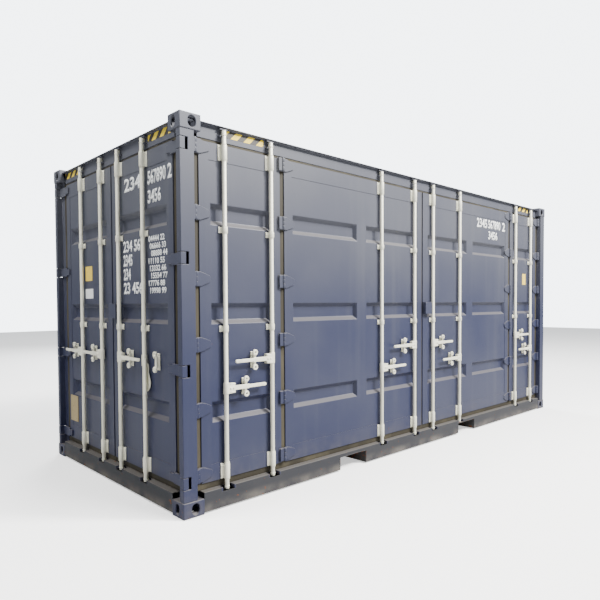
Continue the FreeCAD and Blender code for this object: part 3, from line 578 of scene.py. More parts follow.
class Form:
    """A shape in the making, in the row frame."""

    def __init__(self) -> None:
        """Start with nothing."""
        self.mesh = bmesh.new()

    def edges_of(self, points: Sequence[bmesh.types.BMVert]) -> list[bmesh.types.BMEdge]:
        """Find the edges that join some points.

        Args:
            points: the points.

        Returns:
            The edges with both ends among them.
        """
        chosen = set(points)
        return [edge for edge in {e for point in points for e in point.link_edges}
                if chosen.issuperset(edge.verts)]

    def soften(self, edges: Sequence[bmesh.types.BMEdge], width: float, segments: int = 2) -> None:
        """Round edges off.

        Args:
            edges: the edges.
            width: how far the rounding reaches.
            segments: how many flats it has.
        """
        made = bmesh.ops.bevel(self.mesh, geom=list(edges), offset=width, offset_type="OFFSET",
                               segments=segments, profile=0.5, affect="EDGES", material=-1,
                               clamp_overlap=False)
        for face in made["faces"]:
            face.smooth = True

    def block(self, corner: Sequence[float], opposite: Sequence[float],
              edge: float = 0.0) -> "Form":
        """Add a box.

        Args:
            corner: one corner.
            opposite: the corner across from it.
            edge: how far its edges are rounded.

        Returns:
            The form.
        """
        low, high = Vector(corner), Vector(opposite)
        size = Vector(abs(side) for side in high - low)
        made = bmesh.ops.create_cube(self.mesh, size=1.0, matrix=Matrix.Translation(
            (low + high) / 2) @ Matrix.Diagonal((*size, 1)))
        if edge:
            self.soften(self.edges_of(made["verts"]), edge)
        return self

    def rod(self, middle: Sequence[float], radius: float, length: float, along: Axis,
            sides: int = 16, edge: float = 0.0, tip: float | None = None) -> "Form":
        """Add a round bar or a cone.

        Args:
            middle: its middle.
            radius: its radius at the start.
            length: its length.
            along: the axis that it lies along.
            sides: how many flats make its round.
            edge: how far its rims are rounded.
            tip: its radius at the end, where it isn't the same.

        Returns:
            The form.
        """
        made = bmesh.ops.create_cone(
            self.mesh, cap_ends=True, cap_tris=False, segments=sides, radius1=radius,
            radius2=radius if tip is None else tip, depth=length,
            matrix=Matrix.Translation(Vector(middle)) @ along.turn())
        edges = self.edges_of(made["verts"])
        if sides > 6:
            for face in {f for edge_ in edges for f in edge_.link_faces if len(f.verts) == 4}:
                face.smooth = True
        if edge:
            self.soften([e for e in edges if any(len(f.verts) > 4 for f in e.link_faces)], edge)
        return self

    def plate(self, outline: Sequence[Sequence[float]], thickness: Sequence[float],
              edge: float = 0.0) -> "Form":
        """Add a flat plate.

        Args:
            outline: its corners, in order.
            thickness: the vector from its one side to its other.
            edge: how far its edges are rounded.

        Returns:
            The form.
        """
        corners = [self.mesh.verts.new(Vector(corner)) for corner in outline]
        face = self.mesh.faces.new(corners)
        grown = bmesh.ops.extrude_face_region(self.mesh, geom=[face], use_keep_orig=True)
        raised = [item for item in grown["geom"] if isinstance(item, bmesh.types.BMVert)]
        bmesh.ops.translate(self.mesh, verts=raised, vec=Vector(thickness))
        solid = [*corners, *raised]
        faces = list({f for corner in solid for f in corner.link_faces})
        bmesh.ops.recalc_face_normals(self.mesh, faces=faces)
        if edge:
            self.soften(self.edges_of(solid), edge)
        return self

    def ring(self, middle: Sequence[float], radius: float, wire: float, facing: Axis,
             sides: int = 20, share: float = 1.0) -> "Form":
        """Add a ring of round wire.

        Args:
            middle: its centre.
            radius: the radius of its centre line.
            wire: the radius of the wire.
            facing: the axis through its hole.
            sides: how many stretches go round.
            share: how much of the full turn it makes.

        Returns:
            The form.
        """
        turn = Matrix.Translation(Vector(middle)) @ facing.turn()
        made = bmesh.ops.create_circle(
            self.mesh, segments=8, radius=wire,
            matrix=turn @ Matrix.Translation((radius, 0, 0)) @ Axis.Y.turn())
        bmesh.ops.spin(
            self.mesh, geom=self.edges_of(made["verts"]), cent=Vector(middle),
            axis=(turn.to_3x3() @ Vector((0, 0, 1))), angle=2 * math.pi * share, steps=sides,
            use_merge=share == 1.0)
        reach = radius + 2 * wire
        near = [point for point in self.mesh.verts if (point.co - Vector(middle)).length < reach]
        faces = list({f for point in near for f in point.link_faces})
        if share < 1.0:
            rims = [e for point in near for e in point.link_edges if e.is_boundary]
            faces += bmesh.ops.holes_fill(self.mesh, edges=list(set(rims)))["faces"]
        bmesh.ops.recalc_face_normals(self.mesh, faces=faces)
        for face in faces:
            face.smooth = len(face.verts) == 4
        return self

    def bolt(self, seat: Sequence[float], across: float, outward: Vector, inward: Axis,
             sides: int = 6, height: float = 0.0045) -> "Form":
        """Add a bolt or rivet head that stands on a plate.

        Args:
            seat: the middle of its foot.
            across: its radius.
            outward: the direction that it stands up in.
            inward: the axis through it.
            sides: six for a hexagon, more for a button head.
            height: how far it stands up.

        Returns:
            The form.
        """
        middle = Vector(seat) + outward * (height / 2 - 0.0005)
        return self.rod(middle, across, height + 0.001, inward, sides, edge=height * 0.35)


@dataclass(frozen=True)
class Bench:
    """Where finished forms become pieces that ride on the container."""

    palette: Palette

    def piece(self, name: str, form: Form, body: str, slot: str,
              finish: bpy.types.Material | None = None) -> bpy.types.Object:
        """Make a form a piece: dress it, put it in the scene and let it ride.

        Args:
            name: the piece's name.
            form: its finished shape.
            body: the body that it rides on.
            slot: the record's material slot.
            finish: a finish other than the slot's own.

        Returns:
            The piece.
        """
        mesh = bpy.data.meshes.new(name)
        form.mesh.to_mesh(mesh)
        form.mesh.free()
        mesh.materials.append(finish or self.palette.for_slot(slot))
        thing = bpy.data.objects.new(name, mesh)
        bpy.context.scene.collection.objects.link(thing)
        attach(thing, body)
        log.info("%s rides on %s, %d faces", name, body, len(mesh.polygons))
        return thing


@dataclass(frozen=True)
class SoftCopy:
    """A CAD node's copy with the edges broken that rolling, pressing or grinding leaves round."""

    node: str
    edge: float = 0.0016
    segments: int = 2
    bends_only: bool = False
    sharp: float = math.radians(32)
    rim: float = math.radians(78)

    def build(self, bench: Bench) -> None:
        """Make the copy and let it stand for the node.

        Args:
            bench: where pieces are made.
        """
        source = frame["nodes"][self.node]
        form = Form()
        shape = form.mesh
        shape.from_mesh(source.data)
        bmesh.ops.remove_doubles(shape, verts=shape.verts[:], dist=1e-5)
        bmesh.ops.dissolve_limit(shape, angle_limit=math.radians(0.6), verts=shape.verts[:],
                                 edges=shape.edges[:], use_dissolve_boundaries=False)
        angles = {edge: edge.calc_face_angle(0.0) for edge in shape.edges}
        for face in shape.faces:
            face.smooth = any(0.03 < angles[edge] < self.sharp for edge in face.edges)
        limit = self.rim if self.bends_only else math.pi
        form.soften([edge for edge, angle in angles.items() if self.sharp <= angle <= limit],
                    self.edge, self.segments)
        entry = next(e for e in frame["record"]["subparts"] if e["node"] == self.node)
        soiled = self.node in ("side_sill", "end_sill")
        piece = bench.piece(f"{self.node}_finished", form, source["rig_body"],
                            entry["material_slot"], bench.palette.sill if soiled else None)
        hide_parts(self.node)


# ---------------------------------------------------------------- the container's own pieces


@dataclass(frozen=True)
class Steelwork:
    """Frame, doors and gear: every CAD node with its edges softened to suit how it is made."""

    cast_edge: float = 0.006
    rail_edge: float = 0.0035
    bend_edge: float = 0.0035
    gear_edge: float = 0.0018

    def build(self, bench: Bench) -> None:
        """Soften every node.

        Args:
            bench: where pieces are made.
        """
        for entry in frame["record"]["subparts"]:
            node = entry["node"]
            bends = node.endswith(("_wall", "_leaf", "roof_sheet"))
            if node == "side_leaf_hinges":
                continue
            if node.endswith("castings"):
                width = self.cast_edge
            elif bends:
                width = self.bend_edge
            elif node.endswith(("rail", "header", "sill", "post", "floor", "members", "gasket",
                                "gaskets", "tunnel")):
                width = self.rail_edge
            else:
                width = self.gear_edge
            SoftCopy(node, width, 2, bends).build(bench)


@dataclass(frozen=True)
class LockBarSet:
    """The lock bars of one body set: where each bar, its brackets and its catch are."""

    face: Face
    level: float
    toward: int
    body: str
    door: str
    bar_x: float


@dataclass(frozen=True)
class LockGear:
    """Bolts, collars, pins and welds on the lock bars, brackets and catches."""

    door_inset: float = 0.055
    bar_inset: float = 0.030
    bar_radius: float = 0.017
    upper_handle: float = 1.100
    lower_handle: float = 0.900
    bracket_from_edge: float = 0.062
    guide_above_handle: float = 0.254
    upper_guide_share: float = 0.563
    end_bracket_height: float = 0.113
    guide_height: float = 0.042
    bolt_from_bar: float = 0.0325
    bolt_radius: float = 0.0062
    bracket_plate: float = 0.006
    catch_reach: float = 0.185
    catch_plate_height: float = 0.130
    catch_eye_rise: float = 0.058
    catch_front: float = 0.012
    paddle_plate: float = 0.009
    paddle_depth: float = 0.038
    paddle_hole: tuple[float, float] = (0.048, -0.172)
    bolt_rise_share: float = 0.34
    weld_from_bar: float = 0.0315
    weld_radius: float = 0.0028
    weld_length: float = 0.019
    rivet_from_middle: float = 0.0155
    rivet_from_end: float = 0.008
    rivet_radius: float = 0.0042
    eye_rim: tuple[float, float] = (0.0125, 0.0024)
    seal_ring: tuple[float, float] = (0.0135, 0.0017)
    seal_ring_drop: float = 0.019
    collar_height: float = 0.006
    collar_wall: float = 0.0035
    head_washer_drop: float = 0.0335
    foot_washer_rise: float = 0.0195
    cap_height: float = 0.003
    handle_front: float = 0.008
    hub_bolt_reaches: tuple[float, ...] = (0.030, 0.058)
    hub_bolt_radius: float = 0.0085
    hub_pin_reach: float = 0.045
    hub_pin_rise: float = 0.029
    hub_pin_length: float = 0.052
    grip_stud_reach: float = 0.340
    paddle_outline: tuple[tuple[float, float], ...] = (
        (0.000, -0.020), (0.036, -0.026), (0.042, -0.058), (0.040, -0.092), (0.052, -0.124),
        (0.067, -0.154), (0.070, -0.182), (0.058, -0.212), (0.030, -0.240), (0.008, -0.248),
        (0.000, -0.215))

    def sets(self) -> list[LockBarSet]:
        """Find every bar with its face, handle level and direction.

        Returns:
            The sets, in the order of the joints.
        """
        lower, upper = self.lower_handle, self.upper_handle
        levels = (lower, upper, lower, upper, upper, lower, upper, lower)
        found = []
        for joint in frame["joints"]:
            body = joint["child"]
            if body.startswith("side_lock_bar"):
                index = int(body.rsplit("_", 1)[1]) - 1
                found.append(LockBarSet(Face.SIDE, levels[index], 1 if index % 2 == 0 else -1,
                                        body, "frame", joint["pos_m"][0]))
            elif body.endswith("end_lock_bar"):
                half = body.split("_", 1)[0]
                hanging = body.startswith("right_outer")
                toward = 0 if hanging else (1 if half == "right" else -1)
                found.append(LockBarSet(Face.END, upper, toward, body, f"{half}_end_door",
                                        -joint["pos_m"][1]))
        return found

    def bracket_levels(self) -> dict[float, float]:
        """Find the four brackets of a bar.

        Returns:
            Each bracket's height by its level, lowest first.
        """
        leaf_low, leaf_high = (corner.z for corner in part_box("right_wide_leaf"))
        lowest = leaf_low + self.bracket_from_edge
        highest = leaf_high - self.bracket_from_edge
        lower_guide = self.upper_handle + self.guide_above_handle
        upper_guide = lower_guide + self.upper_guide_share * (highest - lower_guide)
        return {lowest: self.end_bracket_height, lower_guide: self.guide_height,
                upper_guide: self.guide_height, highest: self.end_bracket_height}

    def build(self, bench: Bench) -> None:
        """Fix every bar.

        Args:
            bench: where pieces are made.
        """
        doors: dict[str, Form] = {}
        for bar in self.sets():
            fixings = doors.setdefault(bar.door, Form())
            self.bracket_bolts(fixings, bar)
            self.catch_details(fixings, bar)
            bench.piece(f"{bar.body}_fixings", self.bar_details(bar), bar.body,
                        "lock_gear_zinc")
        for door, form in doors.items():
            name = "side_bracket_fixings" if door == "frame" else f"{door}_bracket_fixings"
            bench.piece(name, form, door, "lock_gear_zinc")

    def bracket_bolts(self, form: Form, bar: LockBarSet) -> None:
        """Put the bolts on the brackets' plates.

        Args:
            form: the shape that they go into.
            bar: the bar that the brackets hold.
        """
        outward = bar.face.outward()
        seat_depth = self.door_inset - self.bracket_plate
        share = self.bolt_rise_share
        for level, height in self.bracket_levels().items():
            rises = (0.0,) if height == self.guide_height else (-share, share)
            for side in (-1, 1):
                for rise in rises:
                    seat = bar.face.point(bar.bar_x + side * self.bolt_from_bar, seat_depth,
                                          level + rise * height)
                    form.bolt(seat, self.bolt_radius, outward, bar.face.inward())
            for end in (-1, 1):
                for side in (-1, 1):
                    middle = bar.face.point(bar.bar_x + side * self.weld_from_bar,
                                            self.door_inset - 0.0008, level + end * height / 2)
                    form.rod(middle, self.weld_radius, self.weld_length, bar.face.along(), 6)

    def catch_details(self, form: Form, bar: LockBarSet) -> None:
        """Put rivets, washers round the eyes and a seal ring on one catch.

        Args:
            form: the shape that they go into.
            bar: the bar whose handle the catch holds.
        """
        at = bar.bar_x + (bar.toward or 1) * self.catch_reach
        outward = bar.face.outward()
        for side in (-1, 1):
            for end in (-1, 1):
                rise = end * (self.catch_plate_height / 2 - self.rivet_from_end)
                seat = bar.face.point(at + side * self.rivet_from_middle,
                                      self.door_inset - self.bracket_plate, bar.level + rise)
                form.bolt(seat, self.rivet_radius, outward, bar.face.inward(), 10, 0.003)
        for rise in (-1, 1):
            eye = bar.face.point(at, self.catch_front + 0.001,
                                 bar.level + rise * self.catch_eye_rise)
            form.ring(eye, *self.eye_rim, bar.face.inward())
        ring_at = bar.face.point(at, self.catch_front + 0.008,
                                 bar.level + self.catch_eye_rise - self.seal_ring_drop)
        form.ring(ring_at, *self.seal_ring, bar.face.along())

    def paddle(self, form: Form, bar: LockBarSet, thickness: Vector) -> None:
        """Hang the handle's curved paddle beside the bar.

        Args:
            form: the shape that it goes into.
            bar: the bar.
            thickness: the vector from its front to its back.
        """
        outline = [bar.face.point(bar.bar_x + across, self.paddle_depth, bar.level + rise)
                   for across, rise in self.paddle_outline]
        form.plate(outline, thickness, edge=0.002)
        across, rise = self.paddle_hole
        middle = bar.face.point(bar.bar_x + across, self.paddle_depth, bar.level + rise)
        form.ring(middle, 0.0085, 0.0022, bar.face.inward(), 16)

    def bar_details(self, bar: LockBarSet) -> Form:
        """Make the collars, hub bolts, pins and tip details that turn with one bar.

        Args:
            bar: the bar.

        Returns:
            The shape.
        """
        form = Form()
        inward = bar.face.inward()
        outward = bar.face.outward()
        low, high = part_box(bar.body)

        def centre(height: float) -> Vector:
            """Give the bar's middle at a height."""
            return bar.face.point(bar.bar_x, self.bar_inset, height)

        for level, height in self.bracket_levels().items():
            for end in (-1, 1):
                beyond = height / 2 + self.collar_height * 0.75
                form.rod(centre(level + end * beyond), self.bar_radius + self.collar_wall,
                         self.collar_height, Axis.Z, 20, edge=0.0015)
        for level in (high.z - self.head_washer_drop, low.z + self.foot_washer_rise):
            form.rod(centre(level), self.bar_radius + 0.004, 0.004, Axis.Z, 20, edge=0.0015)
        cap = self.cap_height
        for level in (high.z - cap / 2, low.z + cap / 2):
            form.rod(centre(level), self.bar_radius - cap / 2, cap, Axis.Z, 20)
        front = self.handle_front
        if bar.toward:
            for reach in self.hub_bolt_reaches:
                seat = bar.face.point(bar.bar_x + bar.toward * reach, front, bar.level)
                form.bolt(seat, self.hub_bolt_radius, outward, inward, 6, 0.0055)
            seat = bar.face.point(bar.bar_x + bar.toward * self.grip_stud_reach, front, bar.level)
            form.bolt(seat, 0.0075, outward, inward, 14, 0.002)
            for end in (-1, 1):
                pin = bar.face.point(bar.bar_x + bar.toward * self.hub_pin_reach, 0.0085,
                                     bar.level + end * self.hub_pin_rise)
                form.rod(pin, 0.003, self.hub_pin_length, bar.face.along(), 8)
        else:
            self.paddle(form, bar, -outward * self.paddle_plate)
            seat = bar.face.point(bar.bar_x + self.hub_bolt_reaches[0], front, bar.level - 0.050)
            form.bolt(seat, self.hub_bolt_radius, outward, inward)
        return form


@dataclass(frozen=True)
class Markings:
    """Hazard bands, plain figures and blank plates on the doors and headers."""

    film: float = 0.0009
    leaf_depth: float = 0.055
    panel_depth: float = 0.058
    header_depth: float = 0.060
    band_low: float = 2.798
    band_high: float = 2.8515
    side_band: tuple[float, float] = (0.435, 0.805)
    end_band: tuple[float, float] = (0.170, 0.560)
    plate_area: Area = (-1.000, -0.815, 0.385, 0.640)
    plate_thickness: float = 0.0015
    rivet_inset: float = 0.010

    def patch(self, form: Form, face: Face, area: Area, depth: float, proud: float) -> None:
        """Add a flat patch that stands a little proud of a face.

        Args:
            form: the shape that it goes into.
            face: the face.
            area: left, right, lower and upper edge.
            depth: the depth of the surface that it lies on.
            proud: its thickness.
        """
        left, right, low, high = area
        form.block(face.point(left, depth - proud, low), face.point(right, depth + 0.0002, high),
                   edge=min(proud * 0.3, 0.0004))

    def figures(self, bench: Bench, name: str, digits: str, face: Face,
                area: Area, body: str, depth: float) -> None:
        """Paint plain figures that fill an area of a face.

        Args:
            bench: where pieces are made.
            name: the piece's name.
            digits: the figures.
            face: the face.
            area: left, right, lower and upper edge.
            body: the body that they ride on.
            depth: the depth of the surface below them.
        """
        left, right, low, high = area
        curve = bpy.data.curves.new(name, "FONT")
        curve.body = digits
        curve.offset = 0.03
        curve.resolution_u = 3
        writing = bpy.data.objects.new(name, curve)
        bpy.context.scene.collection.objects.link(writing)
        bpy.context.view_layer.update()
        ready = writing.evaluated_get(bpy.context.evaluated_depsgraph_get())
        mesh = bpy.data.meshes.new_from_object(ready)
        bpy.data.objects.remove(writing)
        form = Form()
        form.mesh.from_mesh(mesh)
        bpy.data.meshes.remove(mesh)
        bmesh.ops.remove_doubles(form.mesh, verts=form.mesh.verts[:], dist=1e-5)
        flat = form.mesh.faces[:]
        grown = bmesh.ops.extrude_face_region(form.mesh, geom=flat, use_keep_orig=True)
        raised = [item for item in grown["geom"] if isinstance(item, bmesh.types.BMVert)]
        bmesh.ops.translate(form.mesh, verts=raised, vec=(0, 0, 1))
        bmesh.ops.recalc_face_normals(form.mesh, faces=form.mesh.faces[:])
        points = [point.co for point in form.mesh.verts]
        start = Vector(min(point[axis] for point in points) for axis in range(3))
        end = Vector(max(point[axis] for point in points) for axis in range(3))
        scale = Matrix.Diagonal(((right - left) / (end.x - start.x),
                                 (high - low) / (end.y - start.y), self.film, 1))
        place = Matrix.Translation(face.point(left, depth, low)) @ face.upright()
        form.mesh.transform(place @ scale @ Matrix.Translation(-start))
        bench.piece(name, form, body, "navy_paint", bench.palette.white)

    def build(self, bench: Bench) -> None:
        """Put every marking on.

        Args:
            bench: where pieces are made.
        """
        self.bands(bench)
        self.end_figures(bench)
        self.side_figures(bench)
        self.plates(bench)

    def bands(self, bench: Bench) -> None:
        """Lay the hazard bands on both headers, beside each casting.

        Args:
            bench: where pieces are made.
        """
        half_length = CAD_BOUNDS[1][0]
        half_width = CAD_BOUNDS[1][1]
        form = Form()
        for side in (-1, 1):
            for face, half, (near, far) in ((Face.SIDE, half_length, self.side_band),
                                            (Face.END, half_width, self.end_band)):
                area = (side * (half - near), side * (half - far), self.band_low, self.band_high)
                self.patch(form, face, area, self.header_depth, self.film)
        bench.piece("hazard_bands", form, "frame", "navy_paint", bench.palette.stripes)

    def end_figures(self, bench: Bench) -> None:
        """Paint the rows of plain figures on the right end door.

        Args:
            bench: where pieces are made.
        """
        rows = [("234", 0.245, 0.530, 2.470, 2.580), ("567890", 0.648, 0.925, 2.470, 2.580),
                ("3456", 0.648, 0.850, 2.325, 2.430),
                ("234 567", 0.212, 0.570, 1.972, 2.069), ("2345", 0.212, 0.372, 1.857, 1.954),
                ("234", 0.212, 0.340, 1.742, 1.839), ("23 456", 0.212, 0.545, 1.627, 1.724)]
        for index in range(8):
            top = 2.074 - index * 0.0575
            shift = 0.02 * (index % 3)
            rows.append((f"{(index + 2) * 2222:05d} {(index + 2) * 11}", 0.648 + shift,
                         0.896 + shift, top - 0.046, top))
        for index, (digits, *area) in enumerate(rows, start=1):
            self.figures(bench, f"end_figures_{index}", digits, Face.END, tuple(area),
                         "right_end_door", self.panel_depth)
        self.figures(bench, "end_figures_on_stile", "2", Face.END,
                     (0.957, 1.017, 2.470, 2.580), "right_end_door", self.leaf_depth)

    def side_figures(self, bench: Bench) -> None:
        """Paint the two rows of plain figures on the right wide side leaf.

        Args:
            bench: where pieces are made.
        """
        rows = (("2345", 1.180, 1.436, 2.475, 2.590), ("567890", 1.465, 1.785, 2.475, 2.590),
                ("2", 1.835, 1.915, 2.475, 2.590), ("3456", 1.470, 1.705, 2.342, 2.450))
        for index, (digits, *area) in enumerate(rows, start=1):
            self.figures(bench, f"side_figures_{index}", digits, Face.SIDE, tuple(area),
                         "frame", self.panel_depth)

    def plates(self, bench: Bench) -> None:
        """Fix the blank plates and stickers.

        Args:
            bench: where pieces are made.
        """
        palette = bench.palette
        blanks = (("side_blank_sticker", Face.SIDE, (2.435, 2.535, 1.790, 1.940), "frame",
                   palette.yellow),
                  ("door_blank_sticker", Face.END, (-0.585, -0.435, 1.765, 1.900),
                   "left_end_door", palette.yellow),
                  ("door_blank_label", Face.END, (-0.590, -0.420, 1.600, 1.690),
                   "left_end_door", palette.white))
        for name, face, area, body, finish in blanks:
            blank = Form()
            self.patch(blank, face, area, self.panel_depth, self.film)
            bench.piece(name, blank, body, "navy_paint", finish)
        plate = Form()
        self.patch(plate, Face.END, self.plate_area, self.leaf_depth, self.plate_thickness)
        left, right, low, high = self.plate_area
        front = self.leaf_depth - self.plate_thickness
        for across in (left + self.rivet_inset, right - self.rivet_inset):
            for height in (low + 0.011, high - 0.011):
                plate.bolt(Face.END.point(across, front, height), 0.0035,
                           Face.END.outward(), Axis.X, 8, 0.002)
        bench.piece("blank_metal_plate", plate, "left_end_door", "lock_gear_zinc",
                    bench.palette.plate)


@dataclass(frozen=True)
class SideHinges:
    """The forged hinges of the folding doors: knuckle, tapered blades, pin caps and welds."""

    line_inset: float = 0.038
    knuckle_radius: float = 0.014
    height: float = 0.105
    post_face: float = 0.122
    post_line: float = 0.150
    fold_from_end: float = 0.999
    blade_length: float = 0.130
    lug_length: float = 0.048
    blade_tip: float = 0.056
    blade_plate: float = 0.010
    door_inset: float = 0.055
    lowest_rise: float = 0.068
    highest_drop: float = 0.046
    weld: float = 0.0036

    def levels(self) -> list[float]:
        """Find the six hinges of a line.

        Returns:
            The levels of their middles.
        """
        leaf_low, leaf_high = (corner.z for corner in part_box("right_wide_leaf"))
        lowest = leaf_low + self.lowest_rise
        pitch = (leaf_high - self.highest_drop - lowest) / 5
        return [lowest + index * pitch for index in range(6)]

    def build(self, bench: Bench) -> None:
        """Make every hinge of the folding doors.

        Args:
            bench: where pieces are made.
        """
        form = Form()
        half_length = CAD_BOUNDS[1][0]
        for toward in (1, -1):
            for level in self.levels():
                post_line = -toward * (half_length - self.post_line)
                fold_line = -toward * (half_length - self.fold_from_end)
                self.knuckle(form, post_line, level)
                self.blade(form, post_line, toward, level, self.blade_length)
                self.post_block(form, post_line, toward, level)
                self.knuckle(form, fold_line, level)
                self.blade(form, fold_line, toward, level, self.blade_length)
                self.lug(form, fold_line, -toward, level)
        piece = bench.piece("side_leaf_hinges_forged", form, "frame", "navy_paint")
        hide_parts("side_leaf_hinges")

    def knuckle(self, form: Form, line: float, level: float) -> None:
        """Add a knuckle in three stretches, with the pin's domed ends.

        Args:
            form: the shape that it goes into.
            line: where the pin stands.
            level: the hinge's middle.
        """
        stretch = self.height / 3
        for step in (-1, 0, 1):
            middle = Face.SIDE.point(line, self.line_inset, level + step * stretch)
            form.rod(middle, self.knuckle_radius, stretch - 0.0012, Axis.Z, 24, edge=0.0022)
        pin = Face.SIDE.point(line, self.line_inset, level)
        form.rod(pin, self.knuckle_radius * 0.66, self.height + 0.009, Axis.Z, 16, edge=0.003)

    def blade(self, form: Form, line: float, toward: int, level: float, length: float) -> None:
        """Add a tapered blade with its weld.

        Args:
            form: the shape that it goes into.
            line: where the pin stands.
            toward: the side that it runs to, -1 or 1.
            level: the hinge's middle.
            length: its length.
        """
        half, tip = self.height / 2, self.blade_tip / 2
        shoulder = length * 0.36
        nose = tip * 0.55
        profile = ((0.0, half), (shoulder, half), (length - nose, tip),
                   (length - nose * 0.3, tip * 0.8), (length, tip * 0.42),
                   (length, -tip * 0.42), (length - nose * 0.3, -tip * 0.8),
                   (length - nose, -tip), (shoulder, -half), (0.0, -half))
        back = self.door_inset + 0.0004
        outline = [Face.SIDE.point(line + toward * along, back, level + rise)
                   for along, rise in profile]
        form.plate(outline, (0, -self.blade_plate - 0.0004, 0), edge=0.0022)
        neck = self.door_inset - self.line_inset
        form.block(Face.SIDE.point(line, self.line_inset - self.knuckle_radius * 0.2,
                                   level - half + 0.001),
                   Face.SIDE.point(line + toward * (self.knuckle_radius + 0.004),
                                   self.line_inset + neck, level + half - 0.001), edge=0.002)
        for start, end in zip(profile, profile[1:]):
            first, last = (Face.SIDE.point(line + toward * along, self.door_inset - 0.0006,
                                           level + rise) for along, rise in (start, end))
            self.bead(form, first, last)

    def lug(self, form: Form, line: float, toward: int, level: float) -> None:
        """Add the square lug across from a blade, with a weld along its foot.

        Args:
            form: the shape that it goes into.
            line: where the pin stands.
            toward: the side that it runs to, -1 or 1.
            level: the hinge's middle.
        """
        half = self.height / 2
        end = line + toward * self.lug_length
        form.block(Face.SIDE.point(line, self.line_inset - 0.004, level - half),
                   Face.SIDE.point(end, self.door_inset + 0.0004, level + half), edge=0.003)
        corners = [Face.SIDE.point(along, self.door_inset - 0.0006, level + rise)
                   for along, rise in ((line, half), (end, half), (end, -half), (line, -half))]
        for first, last in zip(corners, corners[1:]):
            self.bead(form, first, last)

    def bead(self, form: Form, first: Vector, last: Vector) -> None:
        """Lay a weld bead between two points.

        Args:
            form: the shape that it goes into.
            first: its start.
            last: its end.
        """
        run = last - first
        made = bmesh.ops.create_cone(
            form.mesh, cap_ends=True, segments=8, radius1=self.weld, radius2=self.weld,
            depth=run.length + self.weld,
            matrix=Matrix.Translation((first + last) / 2) @ run.to_track_quat("Z", "Y")
            .to_matrix().to_4x4())
        for point in made["verts"]:
            for face in point.link_faces:
                face.smooth = len(face.verts) == 4

    def post_block(self, form: Form, line: float, toward: int, level: float) -> None:
        """Add the block that carries the knuckle on the post.

        Args:
            form: the shape that it goes into.
            line: where the pin stands.
            toward: the side that the leaf is on, -1 or 1.
            level: the hinge's middle.
        """
        start = line - toward * (self.post_line - self.post_face)
        form.block(Face.SIDE.point(start, self.line_inset - self.knuckle_radius + 0.002,
                                   level - self.height / 2),
                   Face.SIDE.point(line, self.door_inset, level + self.height / 2), edge=0.003)


@dataclass(frozen=True)
class FloorScrews:
    """Countersunk screws that hold the floor boards to the cross members."""

    radius: float = 0.006
    spacing: float = 0.235
    per_member: int = 10

    def build(self, bench: Bench) -> None:
        """Drive every screw.

        Args:
            bench: where pieces are made.
        """
        form = Form()
        low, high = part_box("cross_members")
        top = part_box("plywood_floor")[1].z
        members = 14
        for index in range(members):
            along = low.x + 0.022 + index * (high.x - low.x - 0.044) / (members - 1)
            for step in range(self.per_member):
                across = (step - (self.per_member - 1) / 2) * self.spacing
                form.rod((along, across, top), self.radius, 0.0008, Axis.Z, 8)
        bench.piece("floor_screws", form, "frame", "lock_gear_zinc")


# ---------------------------------------------------------------- studio


@dataclass(frozen=True)
class Lamp:
    """One square soft light."""

    name: str
    at: Place
    aim: Place
    side: float
    watts: float
    tint: Colour = (1.0, 0.99, 0.97)

    def hang(self) -> None:
        """Put it up, facing its aim."""
        light = bpy.data.lights.new(self.name, "AREA")
        light.shape = "SQUARE"
        light.size = self.side
        light.energy = self.watts
        light.color = self.tint
        lamp = bpy.data.objects.new(self.name, light)
        lamp.location = self.at
        gaze = Vector(self.aim) - Vector(self.at)
        lamp.rotation_euler = gaze.to_track_quat("-Z", "Y").to_euler()
        bpy.context.scene.collection.objects.link(lamp)


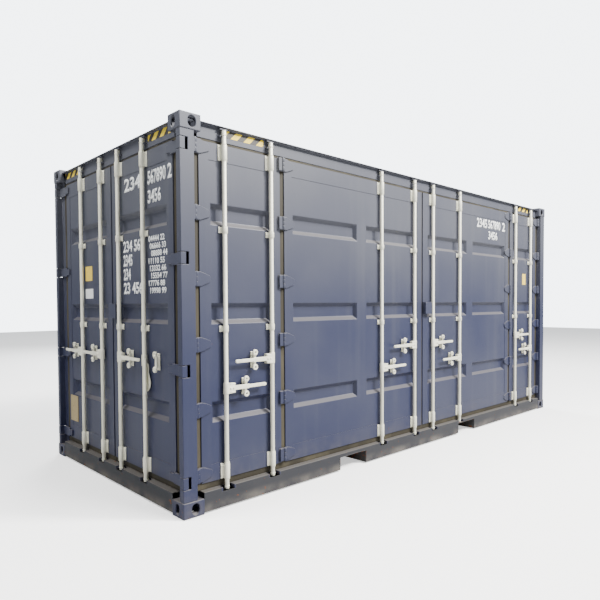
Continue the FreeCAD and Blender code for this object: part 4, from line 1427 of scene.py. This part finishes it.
@dataclass(frozen=True)
class Studio:
    """Floor, lights and camera."""

    eye: Vector = Vector((-5.052, -4.568, 1.537))
    heading: float = math.radians(43.12)
    tilt: float = math.radians(-1.7)
    roll: float = math.radians(-0.32)
    lens: float = 32.71
    shift: tuple[float, float] = (0.0047, 0.0338)
    floor_size: float = 60.0
    seen_sky: float = 6.0
    lighting_sky: float = 0.42
    lamps: tuple[Lamp, ...] = (
        Lamp("key_light", (6.5, -11.0, 12.0), (-0.3, -1.2, 1.3), 2.6, 6400, (1.0, 0.985, 0.955)),
        Lamp("top_light", (0.0, -6.5, 9.5), (0.0, -1.2, 1.0), 4.0, 2300),
        Lamp("end_top_light", (-6.6, 0.6, 9.4), (-3.0, 0.0, 1.3), 2.6, 1150),
        Lamp("end_fill", (-12.0, -2.5, 6.5), (-3.0, 0.0, 1.4), 5.0, 100, (0.97, 0.98, 1.0)),
        Lamp("rear_fill", (5.0, 11.0, 8.0), (0.0, 1.2, 1.2), 6.0, 2600, (0.96, 0.98, 1.0)))

    def build(self) -> None:
        """Put everything up."""
        self.floor()
        self.lights()
        self.camera()

    def floor(self) -> None:
        """Lay the floor at the castings' undersides."""
        mesh = bpy.data.meshes.new("studio_floor")
        shape = bmesh.new()
        bmesh.ops.create_grid(shape, x_segments=1, y_segments=1, size=self.floor_size / 2)
        shape.to_mesh(mesh)
        shape.free()
        floor = bpy.data.objects.new("studio_floor", mesh)
        bpy.context.scene.collection.objects.link(floor)
        mesh.materials.append(Ground().build())

    def lights(self) -> None:
        """Hang the lamps and the pale surroundings."""
        for lamp in self.lamps:
            lamp.hang()
        world = bpy.data.worlds.new("pale_surroundings")
        world.use_nodes = True
        nodes, links = world.node_tree.nodes, world.node_tree.links
        seen = nodes["Background"]
        seen.inputs["Color"].default_value = (0.90, 0.95, 1.0, 1)
        seen.inputs["Strength"].default_value = self.seen_sky
        sky = nodes.new("ShaderNodeBackground")
        sky.inputs["Color"].default_value = (0.84, 0.91, 1.0, 1)
        sky.inputs["Strength"].default_value = self.lighting_sky
        rays = nodes.new("ShaderNodeLightPath")
        choice = nodes.new("ShaderNodeMixShader")
        links.new(rays.outputs["Is Camera Ray"], choice.inputs["Fac"])
        links.new(sky.outputs["Background"], choice.inputs[1])
        links.new(seen.outputs["Background"], choice.inputs[2])
        links.new(choice.outputs["Shader"], nodes["World Output"].inputs["Surface"])
        bpy.context.scene.world = world

    def camera(self) -> None:
        """Stand the camera at the viewing angle."""
        data = bpy.data.cameras.new("camera")
        data.lens = self.lens
        data.sensor_width = 36.0
        data.shift_x, data.shift_y = self.shift
        camera = bpy.data.objects.new("camera", data)
        turn = (Matrix.Rotation(-self.heading, 4, "Z")
                @ Matrix.Rotation(math.pi / 2 + self.tilt, 4, "X")
                @ Matrix.Rotation(self.roll, 4, "Z"))
        camera.matrix_world = Matrix.Translation(self.eye) @ turn
        bpy.context.scene.collection.objects.link(camera)
        bpy.context.scene.camera = camera


def main() -> None:
    """Build everything in order."""
    logging.basicConfig(level=logging.INFO)
    bench = Bench(Palette.make())
    for assembly in (Steelwork(), LockGear(), Markings(), SideHinges(), FloorScrews()):
        log.info("building %s", type(assembly).__name__)
        assembly.build(bench)
    Studio().build()


if __name__ == "__main__":
    main()
